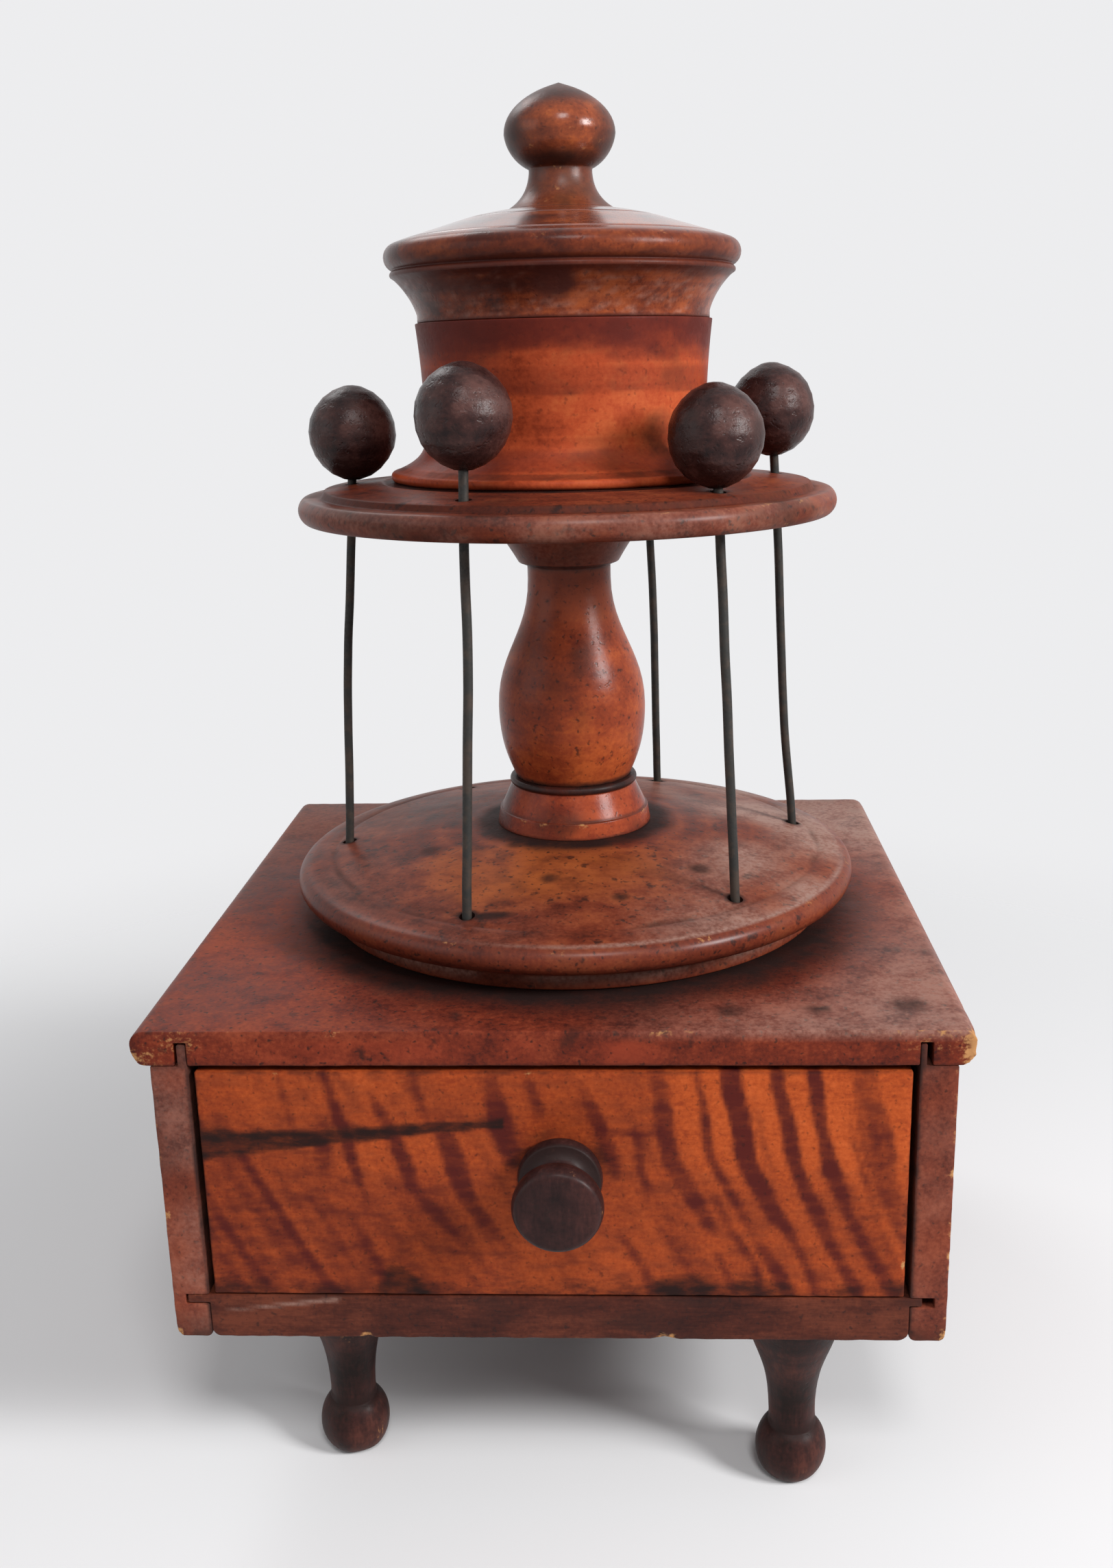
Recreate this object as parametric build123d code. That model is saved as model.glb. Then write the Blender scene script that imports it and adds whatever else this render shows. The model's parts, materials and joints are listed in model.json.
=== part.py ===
from build123d import *
import math
import os

# Case: thin boards joined by tongues and grooves (all sizes in millimetres)
case_width = 165.0
case_depth = 161.0
side_thick = 8.0
top_thick = 7.8
bottom_thick = 10.5
back_thick = 8.0
opening_height = 53.6
top_overhang = 3.75
top_nose = 3.2
nose_share = 0.45
tongue_thick = 2.0
tongue_long = 4.8
groove_room = 0.6
groove_end_room = 0.4
side_foot_round = 1.4
bottom_end_round = 2.2
glue_gap = 0.05

# Turned feet with a tenon let into the bottom board
foot_height = 43.7
foot_side_inset = 31.8
foot_front_inset = 14.0
foot_back_inset = 16.0
foot_left_setback = 8.0
foot_row_shift = 1.0
foot_flat_r = 4.2
foot_ball_r = 7.9
foot_ball_z = 6.4
foot_ball_top = 12.8
foot_neck_r = 5.2
foot_neck_z = 15.5
foot_swell_r = 9.0
foot_flare_r = 11.6
foot_tenon_r = 5.0
foot_tenon_cover = 3.0

# Drawer
drawer_side_gap = 1.2
drawer_low_gap = 0.3
drawer_top_gap = 1.3
drawer_back_gap = 0.5
drawer_front_thick = 9.0
drawer_rebate = 5.0
drawer_side_thick = 6.0
drawer_side_drop = 8.0
drawer_back_thick = 6.0
drawer_bottom_thick = 4.0
drawer_bottom_lift = 3.0
drawer_groove_deep = 3.0
drawer_groove_room = 0.2

# Drawer knob, turned like a small spool with a tenon through the front
knob_reach = 15.0
knob_above_middle = 2.6
knob_off_centre = 1.6
knob_base_r = 8.6
knob_base_long = 3.0
knob_waist_r = 5.4
knob_face_r = 9.3
knob_face_long = 5.2
knob_face_round = 1.2
knob_tenon_r = 3.5

# Wire nails
nail_r = 0.7
nail_head_r = 1.3
nail_head_thick = 0.5
nail_long = 17.0
nail_low = 12.0
nail_high = 33.0

# Lidded cup and the pins around it set the size of the two discs
cup_bore_r = 29.0
cup_wall = 3.6
cup_rim_flare = 1.4
cup_height = 35.0
cup_floor = 5.4
cup_foot_spread = 8.4
cup_foot_lip = 2.3
cup_cove_height = 8.5
cup_floor_round = 3.0
lid_seat_gap = 0.3
lid_spigot_gap = 0.3
lid_spigot_long = 5.0
lid_hollow_r = 23.0
lid_hollow_deep = 3.0
lid_seat_step = 0.6
lid_cove_low = 1.4
lid_cove_high = 9.2
lid_cove_out = 4.9
lid_bead_overhang = 5.2
lid_bead_thick = 1.9
lid_quirk = 0.6
lid_rim_overhang = 6.4
lid_rim_thick = 5.6
lid_dome_rise = 7.0
lid_dome_swell = 0.56
lid_crown_r = 12.3

# Onion finial on the lid
finial_neck_r = 7.1
finial_under_out = 3.2
finial_under_up = 2.4
finial_neck_z = 8.6
finial_ball_r = 12.4
finial_ball_z = 15.9
finial_high = 26.5
finial_tip_r = 3.4
finial_tip_drop = 0.7
finial_tenon_r = 4.0
finial_tenon_long = 7.0

# Spool pins: straight wires with a turned ball on top
wire_r = 1.05
ball_r = 10.1
ball_half = 10.9
ball_room = 0.5
ball_bore_past = 4.0
pin_fit = 0.09
pin_lean_out = 6.0
pin_seat = 4.5
pin_seat_room = 0.3
pin_angles = {"right": 13.0, "back_right": 68.0, "left": 180.0, "front_left": 248.0, "front_right": 311.0}
right_ball_rise = 3.2
back_right_ball_rise = 1.4
left_ball_rise = 0.0
front_left_ball_rise = 4.9
front_right_ball_rise = -0.3
spare_hole_angle = 124.0

# Revolving stand: two discs on a vase column
stand_off_centre = 2.3
swivel_gap = 0.3
swivel_fit = 0.08
tenon_r = 6.0
lower_edge = 11.6
lower_ring_inset = 7.5
lower_ring_high = 5.6
lower_rim_thick = 6.4
lower_rim_round = 2.3
lower_hole_rise = 1.9
lower_dome_rise = 7.6
collar_low_r = 19.0
collar_arris_r = 18.3
collar_band = 3.9
collar_quirk = 0.3
collar_top_r = 15.65
collar_lip = 1.8
collar_lip_out = 0.5
collar_high = 11.9
vase_foot_r = 14.0
vase_belly_r = 17.9
vase_belly_z = 17.4
vase_neck_r = 9.95
vase_sweep = 0.42
vase_neck_z = 48.4
vase_neck_long = 3.2
capital_step_r = 12.0
capital_step_rise = 0.9
capital_r = 20.0
column_high = 63.8
upper_edge = 11.8
upper_rim_thick = 5.4
upper_rim_round = 1.9
upper_step_rise = 1.6
upper_crown_rise = 1.5
upper_platform_inset = 5.6
upper_quirk = 0.6
cup_tenon_cover = 2.4

# Pivot screw and washer under the case top
washer_r = 10.0
washer_thick = 1.2
screw_r = 1.8
screw_pilot_r = 1.3
screw_long = 22.0
screw_head_r = 3.6
screw_head_thick = 2.2
screw_slot = 0.8

# Places worked out from the sizes above
ball_rises = {
    "right": right_ball_rise,
    "back_right": back_right_ball_rise,
    "left": left_ball_rise,
    "front_left": front_left_ball_rise,
    "front_right": front_right_ball_rise,
}
inside = case_width - 2 * side_thick
case_front = knob_reach / 2 - case_depth / 2
case_back_y = knob_reach / 2 + case_depth / 2
z_case = foot_height
z_floor = z_case + bottom_thick
z_ceiling = z_floor + opening_height
z_top = z_ceiling + top_thick
groove_deep = tongue_long + groove_end_room
stand_x = stand_off_centre
stand_y = knob_reach / 2
z_ring = z_top + swivel_gap
z_lower_rim = z_ring + lower_ring_high
z_lower_arris = z_lower_rim + lower_rim_thick
z_pin_low = z_lower_arris + lower_hole_rise
z_lower = z_lower_arris + lower_dome_rise
z_collar_top = z_lower + collar_high
z_upper_under = z_collar_top + column_high
z_upper_arris = z_upper_under + upper_rim_thick
z_upper_step = z_upper_arris + upper_step_rise
z_upper = z_upper_step + upper_crown_rise
z_cup_floor = z_upper + cup_floor
z_cup_rim = z_upper + cup_height
z_lid = z_cup_rim + lid_seat_gap
z_lid_crown = z_lid + lid_cove_high + lid_bead_thick + lid_rim_thick + lid_dome_rise
cup_wall_r = cup_bore_r + cup_wall
cup_rim_r = cup_wall_r + cup_rim_flare
cup_foot_r = cup_wall_r + cup_foot_spread
lid_bead_r = cup_rim_r + lid_bead_overhang
lid_rim_r = cup_rim_r + lid_rim_overhang
pin_high_r = lid_rim_r + ball_r + ball_room
pin_low_r = pin_high_r + pin_lean_out
upper_disc_r = pin_high_r + upper_edge
lower_disc_r = pin_low_r + lower_edge
pin_hole_r = wire_r + pin_fit
foot_tenon_top = z_case + bottom_thick - foot_tenon_cover
cup_tenon_top = z_cup_floor - cup_tenon_cover
drawer_half = inside / 2 - drawer_side_gap
drawer_under = z_floor + drawer_low_gap
drawer_front_top = z_ceiling - drawer_top_gap
drawer_side_top = drawer_front_top - drawer_side_drop
drawer_end = case_back_y - back_thick - drawer_back_gap


# A board that fills the space between two places along each axis
def board(x, y, z):
    spans = [sorted(span) for span in (x, y, z)]
    middle = [(low + high) / 2 for low, high in spans]
    size = [high - low for low, high in spans]
    return Pos(*middle) * Box(*size)


# A point of a turned outline, by its radius and height
def rz(radius, height):
    return Vector(radius, 0, height)


# A solid turned from edges that run from the axis at the bottom round to the axis again
def turned(*edges):
    closing = Line(edges[-1] @ 1, edges[0] @ 0)
    return revolve(make_face([*edges, closing]), Axis.Z, 360)


def straight(*points):
    return [Line(start, end) for start, end in zip(points, points[1:])]


# A round bar standing on the given height
def bar(radius, low, high):
    return Pos(0, 0, low) * Cylinder(radius, high - low, align=(Align.CENTER, Align.CENTER, Align.MIN))


def on_stand(shape):
    return Pos(stand_x, stand_y, 0) * shape


# Feet stand at four places under the bottom board
def foot_places():
    left = foot_row_shift - (case_width / 2 - foot_side_inset)
    right = foot_row_shift + (case_width / 2 - foot_side_inset)
    front = case_front + foot_front_inset
    back = case_back_y - foot_back_inset
    return {
        "foot_front_left": (left, front + foot_left_setback),
        "foot_front_right": (right, front),
        "foot_back_left": (left, back),
        "foot_back_right": (right, back),
    }


def foot():
    flare = Bezier(
        rz(foot_neck_r, foot_neck_z),
        rz(foot_neck_r, (foot_neck_z + z_case) / 2),
        rz(foot_swell_r, z_case - foot_flare_r),
        rz(foot_flare_r, z_case),
    )
    return turned(
        *straight(rz(0, 0), rz(foot_flat_r, 0)),
        ThreePointArc(rz(foot_flat_r, 0), rz(foot_ball_r, foot_ball_z), rz(foot_neck_r, foot_ball_top)),
        *straight(rz(foot_neck_r, foot_ball_top), rz(foot_neck_r, foot_neck_z)),
        flare,
        *straight(rz(foot_flare_r, z_case), rz(foot_tenon_r, z_case)),
        *straight(rz(foot_tenon_r, z_case), rz(foot_tenon_r, foot_tenon_top), rz(0, foot_tenon_top)),
    )


def case_side(hand):
    inner = hand * inside / 2
    outer = hand * case_width / 2
    depth = (case_front, case_back_y)
    side = board((inner, outer), depth, (z_case, z_ceiling))
    side = fillet(side.edges().filter_by(Axis.Y).group_by(Axis.Z)[0], side_foot_round)
    tongue = board((inner, inner + hand * tongue_thick), depth, (z_ceiling, z_ceiling + tongue_long))
    groove_low = z_floor - tongue_thick - groove_room / 2
    groove = board((inner, inner + hand * groove_deep), depth, (groove_low, z_floor))
    return side + tongue - groove


def case_top():
    half = case_width / 2 + top_overhang
    top = board((-half, half), (case_front, case_back_y), (z_ceiling, z_top))
    top = fillet(top.edges().filter_by(Axis.Y), min(top_nose, top_thick * nose_share))
    for hand in (-1, 1):
        inner = hand * inside / 2
        outer = inner + hand * (tongue_thick + groove_room)
        top -= board((inner, outer), (case_front, case_back_y), (z_ceiling, z_ceiling + groove_deep))
    return top - on_stand(bar(tenon_r + swivel_fit, z_ceiling, z_top))


def case_bottom():
    depth = (case_front, case_back_y)
    bottom = board((-inside / 2, inside / 2), depth, (z_case, z_floor))
    bottom = fillet(bottom.edges().filter_by(Axis.Y).group_by(Axis.Z)[0], bottom_end_round)
    half = inside / 2 + tongue_long
    bottom += board((-half, half), depth, (z_floor - tongue_thick, z_floor))
    for x, y in foot_places().values():
        bottom -= Pos(x, y, 0) * bar(foot_tenon_r + glue_gap, z_case, foot_tenon_top + glue_gap)
    return bottom


def case_back():
    return board((-inside / 2, inside / 2), (case_back_y - back_thick, case_back_y), (z_floor, z_ceiling))


# A nail driven along X from the outer face of a left (-1) or right (1) board
def nail(hand, face_x, y, z):
    shank = bar(nail_r, 0, nail_long)
    head = bar(nail_head_r, nail_long - nail_head_thick, nail_long)
    driven = Pos(-nail_long, 0, 0) * Rot(0, 90, 0) * (shank + head)
    if hand < 0:
        driven = Rot(0, 0, 180) * driven
    return Pos(hand * face_x, y, z) * driven


def case_nails():
    y = case_back_y - back_thick / 2
    return Compound([
        nail(hand, case_width / 2, y, z_floor + rise)
        for hand in (-1, 1)
        for rise in (nail_low, nail_high)
    ])


def drawer_groove(width, depth):
    low = drawer_under + drawer_bottom_lift
    return board(width, depth, (low, low + drawer_bottom_thick + drawer_groove_room))


def drawer_front():
    back = case_front + drawer_front_thick
    front = board((-drawer_half, drawer_half), (case_front, back), (drawer_under, drawer_front_top))
    for hand in (-1, 1):
        outer = hand * drawer_half
        inner = outer - hand * drawer_side_thick
        front -= board((inner, outer), (back - drawer_rebate, back), (drawer_under, drawer_side_top))
    shoulder = drawer_half - drawer_side_thick
    front -= drawer_groove((-shoulder, shoulder), (back - drawer_groove_deep, back))
    return front - on_drawer_front(bar(knob_tenon_r + glue_gap, -drawer_front_thick, 0))


# Lays a piece turned along Z on the drawer front, so that it points out of it
def on_drawer_front(shape):
    height = (drawer_under + drawer_front_top) / 2 + knob_above_middle
    return Pos(knob_off_centre, case_front, height) * Rot(90, 0, 0) * shape


def drawer_side(hand):
    start = case_front + drawer_front_thick - drawer_rebate
    outer = hand * drawer_half
    inner = outer - hand * drawer_side_thick
    side = board((inner, outer), (start, drawer_end), (drawer_under, drawer_side_top))
    return side - drawer_groove((inner, inner + hand * drawer_groove_deep), (start, drawer_end))


def drawer_bottom():
    half = drawer_half - drawer_side_thick + drawer_groove_deep - drawer_groove_room
    start = case_front + drawer_front_thick - drawer_groove_deep + drawer_groove_room
    shoulder = drawer_half - drawer_side_thick
    low = drawer_under + drawer_bottom_lift
    high = low + drawer_bottom_thick
    panel = board((-half, half), (case_front + drawer_front_thick, drawer_end), (low, high))
    return panel + board((-shoulder, shoulder), (start, drawer_end), (low, high))


def drawer_back():
    half = drawer_half - drawer_side_thick
    low = drawer_under + drawer_bottom_lift + drawer_bottom_thick
    return board((-half, half), (drawer_end - drawer_back_thick, drawer_end), (low, drawer_side_top))


def drawer_nails():
    front_y = case_front + drawer_front_thick - drawer_rebate / 2
    back_y = drawer_end - drawer_back_thick / 2
    return Compound([
        nail(hand, drawer_half, y, drawer_under + rise)
        for hand in (-1, 1)
        for y in (front_y, back_y)
        for rise in (nail_low, nail_high)
    ])


def drawer_knob():
    face_start = knob_reach - knob_face_long
    face_neck = rz(knob_face_r - knob_face_round, face_start)
    face_low = rz(knob_face_r, face_start + knob_face_round)
    face_edge = rz(knob_face_r, knob_reach - knob_face_round)
    face_in = rz(knob_face_r - knob_face_round, knob_reach)
    waist = ThreePointArc(
        rz(knob_base_r, knob_base_long),
        rz(knob_waist_r, (knob_base_long + face_start) / 2),
        face_neck,
    )
    knob = turned(
        *straight(rz(0, -drawer_front_thick), rz(knob_tenon_r, -drawer_front_thick), rz(knob_tenon_r, 0)),
        *straight(rz(knob_tenon_r, 0), rz(knob_base_r, 0), rz(knob_base_r, knob_base_long)),
        waist,
        *straight(face_neck, face_low, face_edge, face_in, rz(0, knob_reach)),
    )
    return on_drawer_front(knob)


# The frame of one pin: its origin on the lower disc, its Z along the leaning wire
def pin_plane(angle):
    toward = Vector(math.cos(math.radians(angle)), math.sin(math.radians(angle)), 0)
    low = Vector(stand_x, stand_y, z_pin_low) + toward * pin_low_r
    high = Vector(stand_x, stand_y, z_upper) + toward * pin_high_r
    return Plane(origin=low, z_dir=high - low)


def pin_stretch():
    return math.hypot(z_upper - z_pin_low, pin_low_r - pin_high_r)


# Distance along the wire from the lower disc to the middle of the ball
def ball_middle(name):
    upright = (z_upper - z_pin_low) / pin_stretch()
    return pin_stretch() + (ball_half + ball_rises[name]) / upright


def pin_wire(name):
    return pin_plane(pin_angles[name]) * bar(wire_r, -pin_seat, ball_middle(name) + ball_bore_past)


def pin_ball(name):
    outline = Plane.XZ * EllipticalCenterArc((0, 0), ball_r, ball_half, start_angle=-90, arc_size=180)
    ball = turned(outline) - bar(wire_r, -ball_half, ball_bore_past)
    return pin_plane(pin_angles[name]) * Pos(0, 0, ball_middle(name)) * ball


# Holes for the pins, one more than there are pins: blind below, right through above
def pin_holes(low, high):
    angles = [*pin_angles.values(), spare_hole_angle]
    return [pin_plane(angle) * bar(pin_hole_r, low, high) for angle in angles]


# The lower disc is domed from its rounded rim up to the collar
def lower_disc():
    ring_r = lower_disc_r - lower_ring_inset
    rim_r = lower_disc_r - lower_rim_round
    rim_low = rz(rim_r, z_lower_rim)
    arris = rz(rim_r, z_lower_arris)
    crown = rz(collar_low_r, z_lower)
    disc = turned(
        *straight(rz(0, z_ring), rz(ring_r, z_ring), rz(ring_r, z_lower_rim), rim_low),
        ThreePointArc(rim_low, rz(lower_disc_r, (z_lower_rim + z_lower_arris) / 2), arris),
        ThreePointArc(arris, rz(pin_low_r, z_pin_low), crown),
        *straight(crown, rz(0, z_lower)),
    )
    disc = on_stand(disc - bar(tenon_r + glue_gap, z_ring, z_lower))
    return disc - pin_holes(-pin_seat - pin_seat_room, pin_seat)


def column_collar():
    lip_low = z_collar_top - collar_lip
    band_top = z_lower + collar_band
    neck_r = collar_top_r - collar_lip_out
    cove_foot = rz(collar_arris_r - collar_quirk, band_top)
    lip = ThreePointArc(
        rz(neck_r, lip_low),
        rz(collar_top_r, (lip_low + z_collar_top) / 2),
        rz(neck_r, z_collar_top),
    )
    collar = turned(
        *straight(rz(0, z_lower), rz(collar_low_r, z_lower), rz(collar_arris_r, band_top), cove_foot),
        *straight(cove_foot, rz(neck_r, lip_low)),
        lip,
        *straight(rz(neck_r, z_collar_top), rz(0, z_collar_top)),
    )
    return on_stand(collar - bar(tenon_r + glue_gap, z_lower, z_collar_top))


# The vase column, with a tenon down through the case top and one up into the cup
def column():
    tenon_end = z_ceiling - swivel_gap
    belly = z_collar_top + vase_belly_z
    neck = z_collar_top + vase_neck_z
    neck_top = neck + vase_neck_long
    step_top = neck_top + capital_step_rise
    bowl = Bezier(
        rz(vase_foot_r, z_collar_top),
        rz(vase_foot_r + (vase_belly_r - vase_foot_r) / 2, z_collar_top + vase_belly_z / 4),
        rz(vase_belly_r, z_collar_top + vase_belly_z / 2),
        rz(vase_belly_r, belly),
    )
    sweep_in = Bezier(
        rz(vase_belly_r, belly),
        rz(vase_belly_r, belly + (neck - belly) * vase_sweep),
        rz(vase_neck_r, neck - (neck - belly) * vase_sweep),
        rz(vase_neck_r, neck),
    )
    capital = ThreePointArc(
        rz(capital_step_r, step_top),
        rz((capital_step_r + capital_r) / 2 - capital_step_rise / 2, (step_top + z_upper_under) / 2),
        rz(capital_r, z_upper_under),
    )
    turning = turned(
        *straight(rz(0, tenon_end), rz(tenon_r, tenon_end)),
        *straight(rz(tenon_r, tenon_end), rz(tenon_r, z_collar_top), rz(vase_foot_r, z_collar_top)),
        bowl,
        sweep_in,
        *straight(rz(vase_neck_r, neck), rz(vase_neck_r, neck_top), rz(capital_step_r, step_top)),
        capital,
        *straight(rz(capital_r, z_upper_under), rz(tenon_r, z_upper_under)),
        *straight(rz(tenon_r, z_upper_under), rz(tenon_r, cup_tenon_top), rz(0, cup_tenon_top)),
    )
    pilot_top = tenon_end - washer_thick + screw_long
    return on_stand(turning - bar(screw_pilot_r, tenon_end, pilot_top))


def upper_disc():
    rim_r = upper_disc_r - upper_rim_round
    platform_r = upper_disc_r - upper_platform_inset
    rim_low = rz(rim_r, z_upper_under)
    arris = rz(rim_r, z_upper_arris)
    disc = turned(
        *straight(rz(0, z_upper_under), rim_low),
        ThreePointArc(rim_low, rz(upper_disc_r, (z_upper_under + z_upper_arris) / 2), arris),
        *straight(arris, rz(platform_r, z_upper_arris), rz(platform_r - upper_quirk, z_upper_step)),
        *straight(rz(platform_r - upper_quirk, z_upper_step), rz(cup_foot_r, z_upper), rz(0, z_upper)),
    )
    disc = on_stand(disc - bar(tenon_r + glue_gap, z_upper_under, z_upper))
    reach = pin_stretch()
    through = z_upper - z_upper_under + pin_seat
    return disc - pin_holes(reach - through, reach + pin_seat)


def cup():
    lip_top = z_upper + cup_foot_lip
    cove_top = lip_top + cup_cove_height
    cove_r = cup_foot_r - cup_foot_lip / 2
    lip = ThreePointArc(rz(cove_r, z_upper), rz(cup_foot_r, (z_upper + lip_top) / 2), rz(cove_r, lip_top))
    cove = Bezier(
        rz(cove_r, lip_top),
        rz(cup_wall_r + cup_wall / 2, lip_top + cup_cove_height / 4),
        rz(cup_wall_r, lip_top + cup_cove_height / 2),
        rz(cup_wall_r, cove_top),
    )
    wall = Bezier(
        rz(cup_wall_r, cove_top),
        rz(cup_wall_r, (cove_top + z_cup_rim) / 2),
        rz(cup_rim_r, z_cup_rim),
    )
    hollow = bar(cup_bore_r, z_cup_floor, z_cup_rim)
    hollow = fillet(hollow.edges().group_by(Axis.Z)[0], cup_floor_round)
    body = turned(
        *straight(rz(0, z_upper), rz(cove_r, z_upper)),
        lip,
        cove,
        wall,
        *straight(rz(cup_rim_r, z_cup_rim), rz(0, z_cup_rim)),
    )
    return on_stand(body - hollow - bar(tenon_r + glue_gap, z_upper, cup_tenon_top + glue_gap))


def lid():
    spigot_r = cup_bore_r - lid_spigot_gap
    spigot_low = z_lid - lid_spigot_long
    seat_r = cup_rim_r - lid_seat_step
    cove_r = seat_r + lid_cove_out
    cove_top = z_lid + lid_cove_high
    bead_top = cove_top + lid_bead_thick
    bead_low = rz(lid_bead_r, cove_top + lid_quirk)
    bead_high = rz(lid_bead_r, bead_top - lid_quirk)
    rim_in = lid_bead_r - lid_quirk
    rim_top = bead_top + lid_rim_thick
    cove = Bezier(
        rz(seat_r, z_lid + lid_cove_low),
        rz(seat_r + lid_cove_out / 6, z_lid + lid_cove_high / 2),
        rz(cove_r - lid_cove_out / 3, cove_top - lid_cove_low),
        rz(cove_r, cove_top),
    )
    rim = ThreePointArc(rz(rim_in, bead_top), rz(lid_rim_r, (bead_top + rim_top) / 2), rz(rim_in, rim_top))
    dome = ThreePointArc(
        rz(rim_in, rim_top),
        rz((rim_in + lid_crown_r) / 2, rim_top + lid_dome_rise * lid_dome_swell),
        rz(lid_crown_r, z_lid_crown),
    )
    body = turned(
        *straight(rz(0, spigot_low), rz(spigot_r, spigot_low), rz(spigot_r, z_lid), rz(seat_r, z_lid)),
        *straight(rz(seat_r, z_lid), rz(seat_r, z_lid + lid_cove_low)),
        cove,
        *straight(rz(cove_r, cove_top), bead_low, bead_high, rz(rim_in, bead_top)),
        rim,
        dome,
        *straight(rz(lid_crown_r, z_lid_crown), rz(0, z_lid_crown)),
    )
    body -= bar(lid_hollow_r, spigot_low, spigot_low + lid_hollow_deep)
    mortise_low = z_lid_crown - finial_tenon_long - glue_gap
    return on_stand(body - bar(finial_tenon_r + glue_gap, mortise_low, z_lid_crown))


def lid_knob():
    base = z_lid_crown
    neck = base + finial_neck_z
    ball = base + finial_ball_z
    top = base + finial_high
    foot_cove = Bezier(
        rz(lid_crown_r, base), rz(finial_neck_r, base + finial_neck_z / 3), rz(finial_neck_r, neck)
    )
    under = ThreePointArc(
        rz(finial_neck_r, neck),
        rz(finial_neck_r + finial_under_out, neck + finial_under_up),
        rz(finial_ball_r, ball),
    )
    over = Bezier(
        rz(finial_ball_r, ball),
        rz(finial_ball_r, ball + (top - ball) / 2),
        rz((finial_ball_r + finial_tip_r) / 2, top - 2 * finial_tip_drop),
        rz(finial_tip_r, top - finial_tip_drop),
    )
    tenon_low = base - finial_tenon_long
    knob = turned(
        *straight(rz(0, tenon_low), rz(finial_tenon_r, tenon_low)),
        *straight(rz(finial_tenon_r, tenon_low), rz(finial_tenon_r, base), rz(lid_crown_r, base)),
        foot_cove,
        under,
        over,
        *straight(rz(finial_tip_r, top - finial_tip_drop), rz(0, top)),
    )
    return on_stand(knob)


def pivot_washer():
    high = z_ceiling - swivel_gap
    return on_stand(bar(washer_r, high - washer_thick, high) - bar(screw_r, high - washer_thick, high))


def pivot_screw():
    seat = z_ceiling - swivel_gap - washer_thick
    head = bar(screw_head_r, seat - screw_head_thick, seat)
    slot_depth = (seat - screw_head_thick, seat - screw_head_thick / 2)
    head -= board((-screw_head_r, screw_head_r), (-screw_slot / 2, screw_slot / 2), slot_depth)
    return on_stand(head + bar(screw_r, seat, seat + screw_long))


pieces = {
    "case_top": case_top(),
    "case_side_left": case_side(-1),
    "case_side_right": case_side(1),
    "case_bottom": case_bottom(),
    "case_back": case_back(),
    "case_nails": case_nails(),
    "drawer_front": drawer_front(),
    "drawer_side_left": drawer_side(-1),
    "drawer_side_right": drawer_side(1),
    "drawer_back": drawer_back(),
    "drawer_bottom": drawer_bottom(),
    "drawer_knob": drawer_knob(),
    "drawer_nails": drawer_nails(),
    "lower_disc": lower_disc(),
    "column_collar": column_collar(),
    "column": column(),
    "upper_disc": upper_disc(),
    "cup": cup(),
    "pivot_washer": pivot_washer(),
    "pivot_screw": pivot_screw(),
    "lid": lid(),
    "lid_knob": lid_knob(),
}
for name, (x, y) in foot_places().items():
    pieces[name] = Pos(x, y, 0) * foot()
for name in pin_angles:
    pieces[f"pin_wire_{name}"] = pin_wire(name)
    pieces[f"pin_ball_{name}"] = pin_ball(name)

os.makedirs("parts", exist_ok=True)
for name, shape in pieces.items():
    export_step(shape, f"parts/{name}.step")
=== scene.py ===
import json
import math
import bmesh
import bpy
from mathutils import Matrix, Vector, noise
from mathutils.geometry import delaunay_2d_cdt


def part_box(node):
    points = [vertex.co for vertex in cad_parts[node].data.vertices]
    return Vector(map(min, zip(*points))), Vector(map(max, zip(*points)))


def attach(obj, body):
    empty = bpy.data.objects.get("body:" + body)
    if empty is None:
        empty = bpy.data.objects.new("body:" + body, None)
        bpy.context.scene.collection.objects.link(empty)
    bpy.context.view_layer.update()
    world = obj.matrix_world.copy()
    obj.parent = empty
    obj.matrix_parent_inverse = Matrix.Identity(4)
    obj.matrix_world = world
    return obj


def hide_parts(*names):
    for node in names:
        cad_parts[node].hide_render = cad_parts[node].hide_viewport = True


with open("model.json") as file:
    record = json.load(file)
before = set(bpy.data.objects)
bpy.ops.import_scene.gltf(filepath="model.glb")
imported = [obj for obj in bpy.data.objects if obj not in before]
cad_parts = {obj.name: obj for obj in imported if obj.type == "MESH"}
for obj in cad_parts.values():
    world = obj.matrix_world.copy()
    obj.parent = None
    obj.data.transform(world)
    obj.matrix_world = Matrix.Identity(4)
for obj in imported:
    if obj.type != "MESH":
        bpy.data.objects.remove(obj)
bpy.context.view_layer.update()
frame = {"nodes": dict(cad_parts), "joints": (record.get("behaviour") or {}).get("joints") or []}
mm = 0.001
scene = bpy.context.scene
scene.view_settings.view_transform = "Standard"


# Numbers

strokeReach = 6  # no drawn stroke reaches further than this from its middle line


def ramp(low, high, value):  # smooth step, 0 at low and 1 at high, either way round
    share = min(1, max(0, (value - low) / (high - low)))
    return share * share * (3 - 2 * share)


def blot(distance, radius, soft=0.45):  # 1 in the middle of a stain, 0 outside
    return ramp(radius * (1 + soft), radius * (1 - soft), distance)


def stain(across, up, radius, soft=0.45):  # a round blot, from two distances
    return blot(math.hypot(across, up), radius, soft)


def near(value, middle, half, soft=0.45):  # a blot along one measure
    return blot(abs(value - middle), half, soft)


def speckle(x, y, z=0, seed=0):  # smooth noise from about -1 to 1
    return noise.noise(Vector((x + seed * 7.3, y - seed * 4.1, z + seed * 2.7)))


def clouds(p, seed, flat, tall=None):  # the same at a point, finer with larger scales
    return speckle(p.x * flat, p.y * flat, p.z * (flat if tall is None else tall), seed)


def fromAxis(p):  # how far a point lies from the axis it was turned on
    return math.hypot(p.x, p.y)


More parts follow.
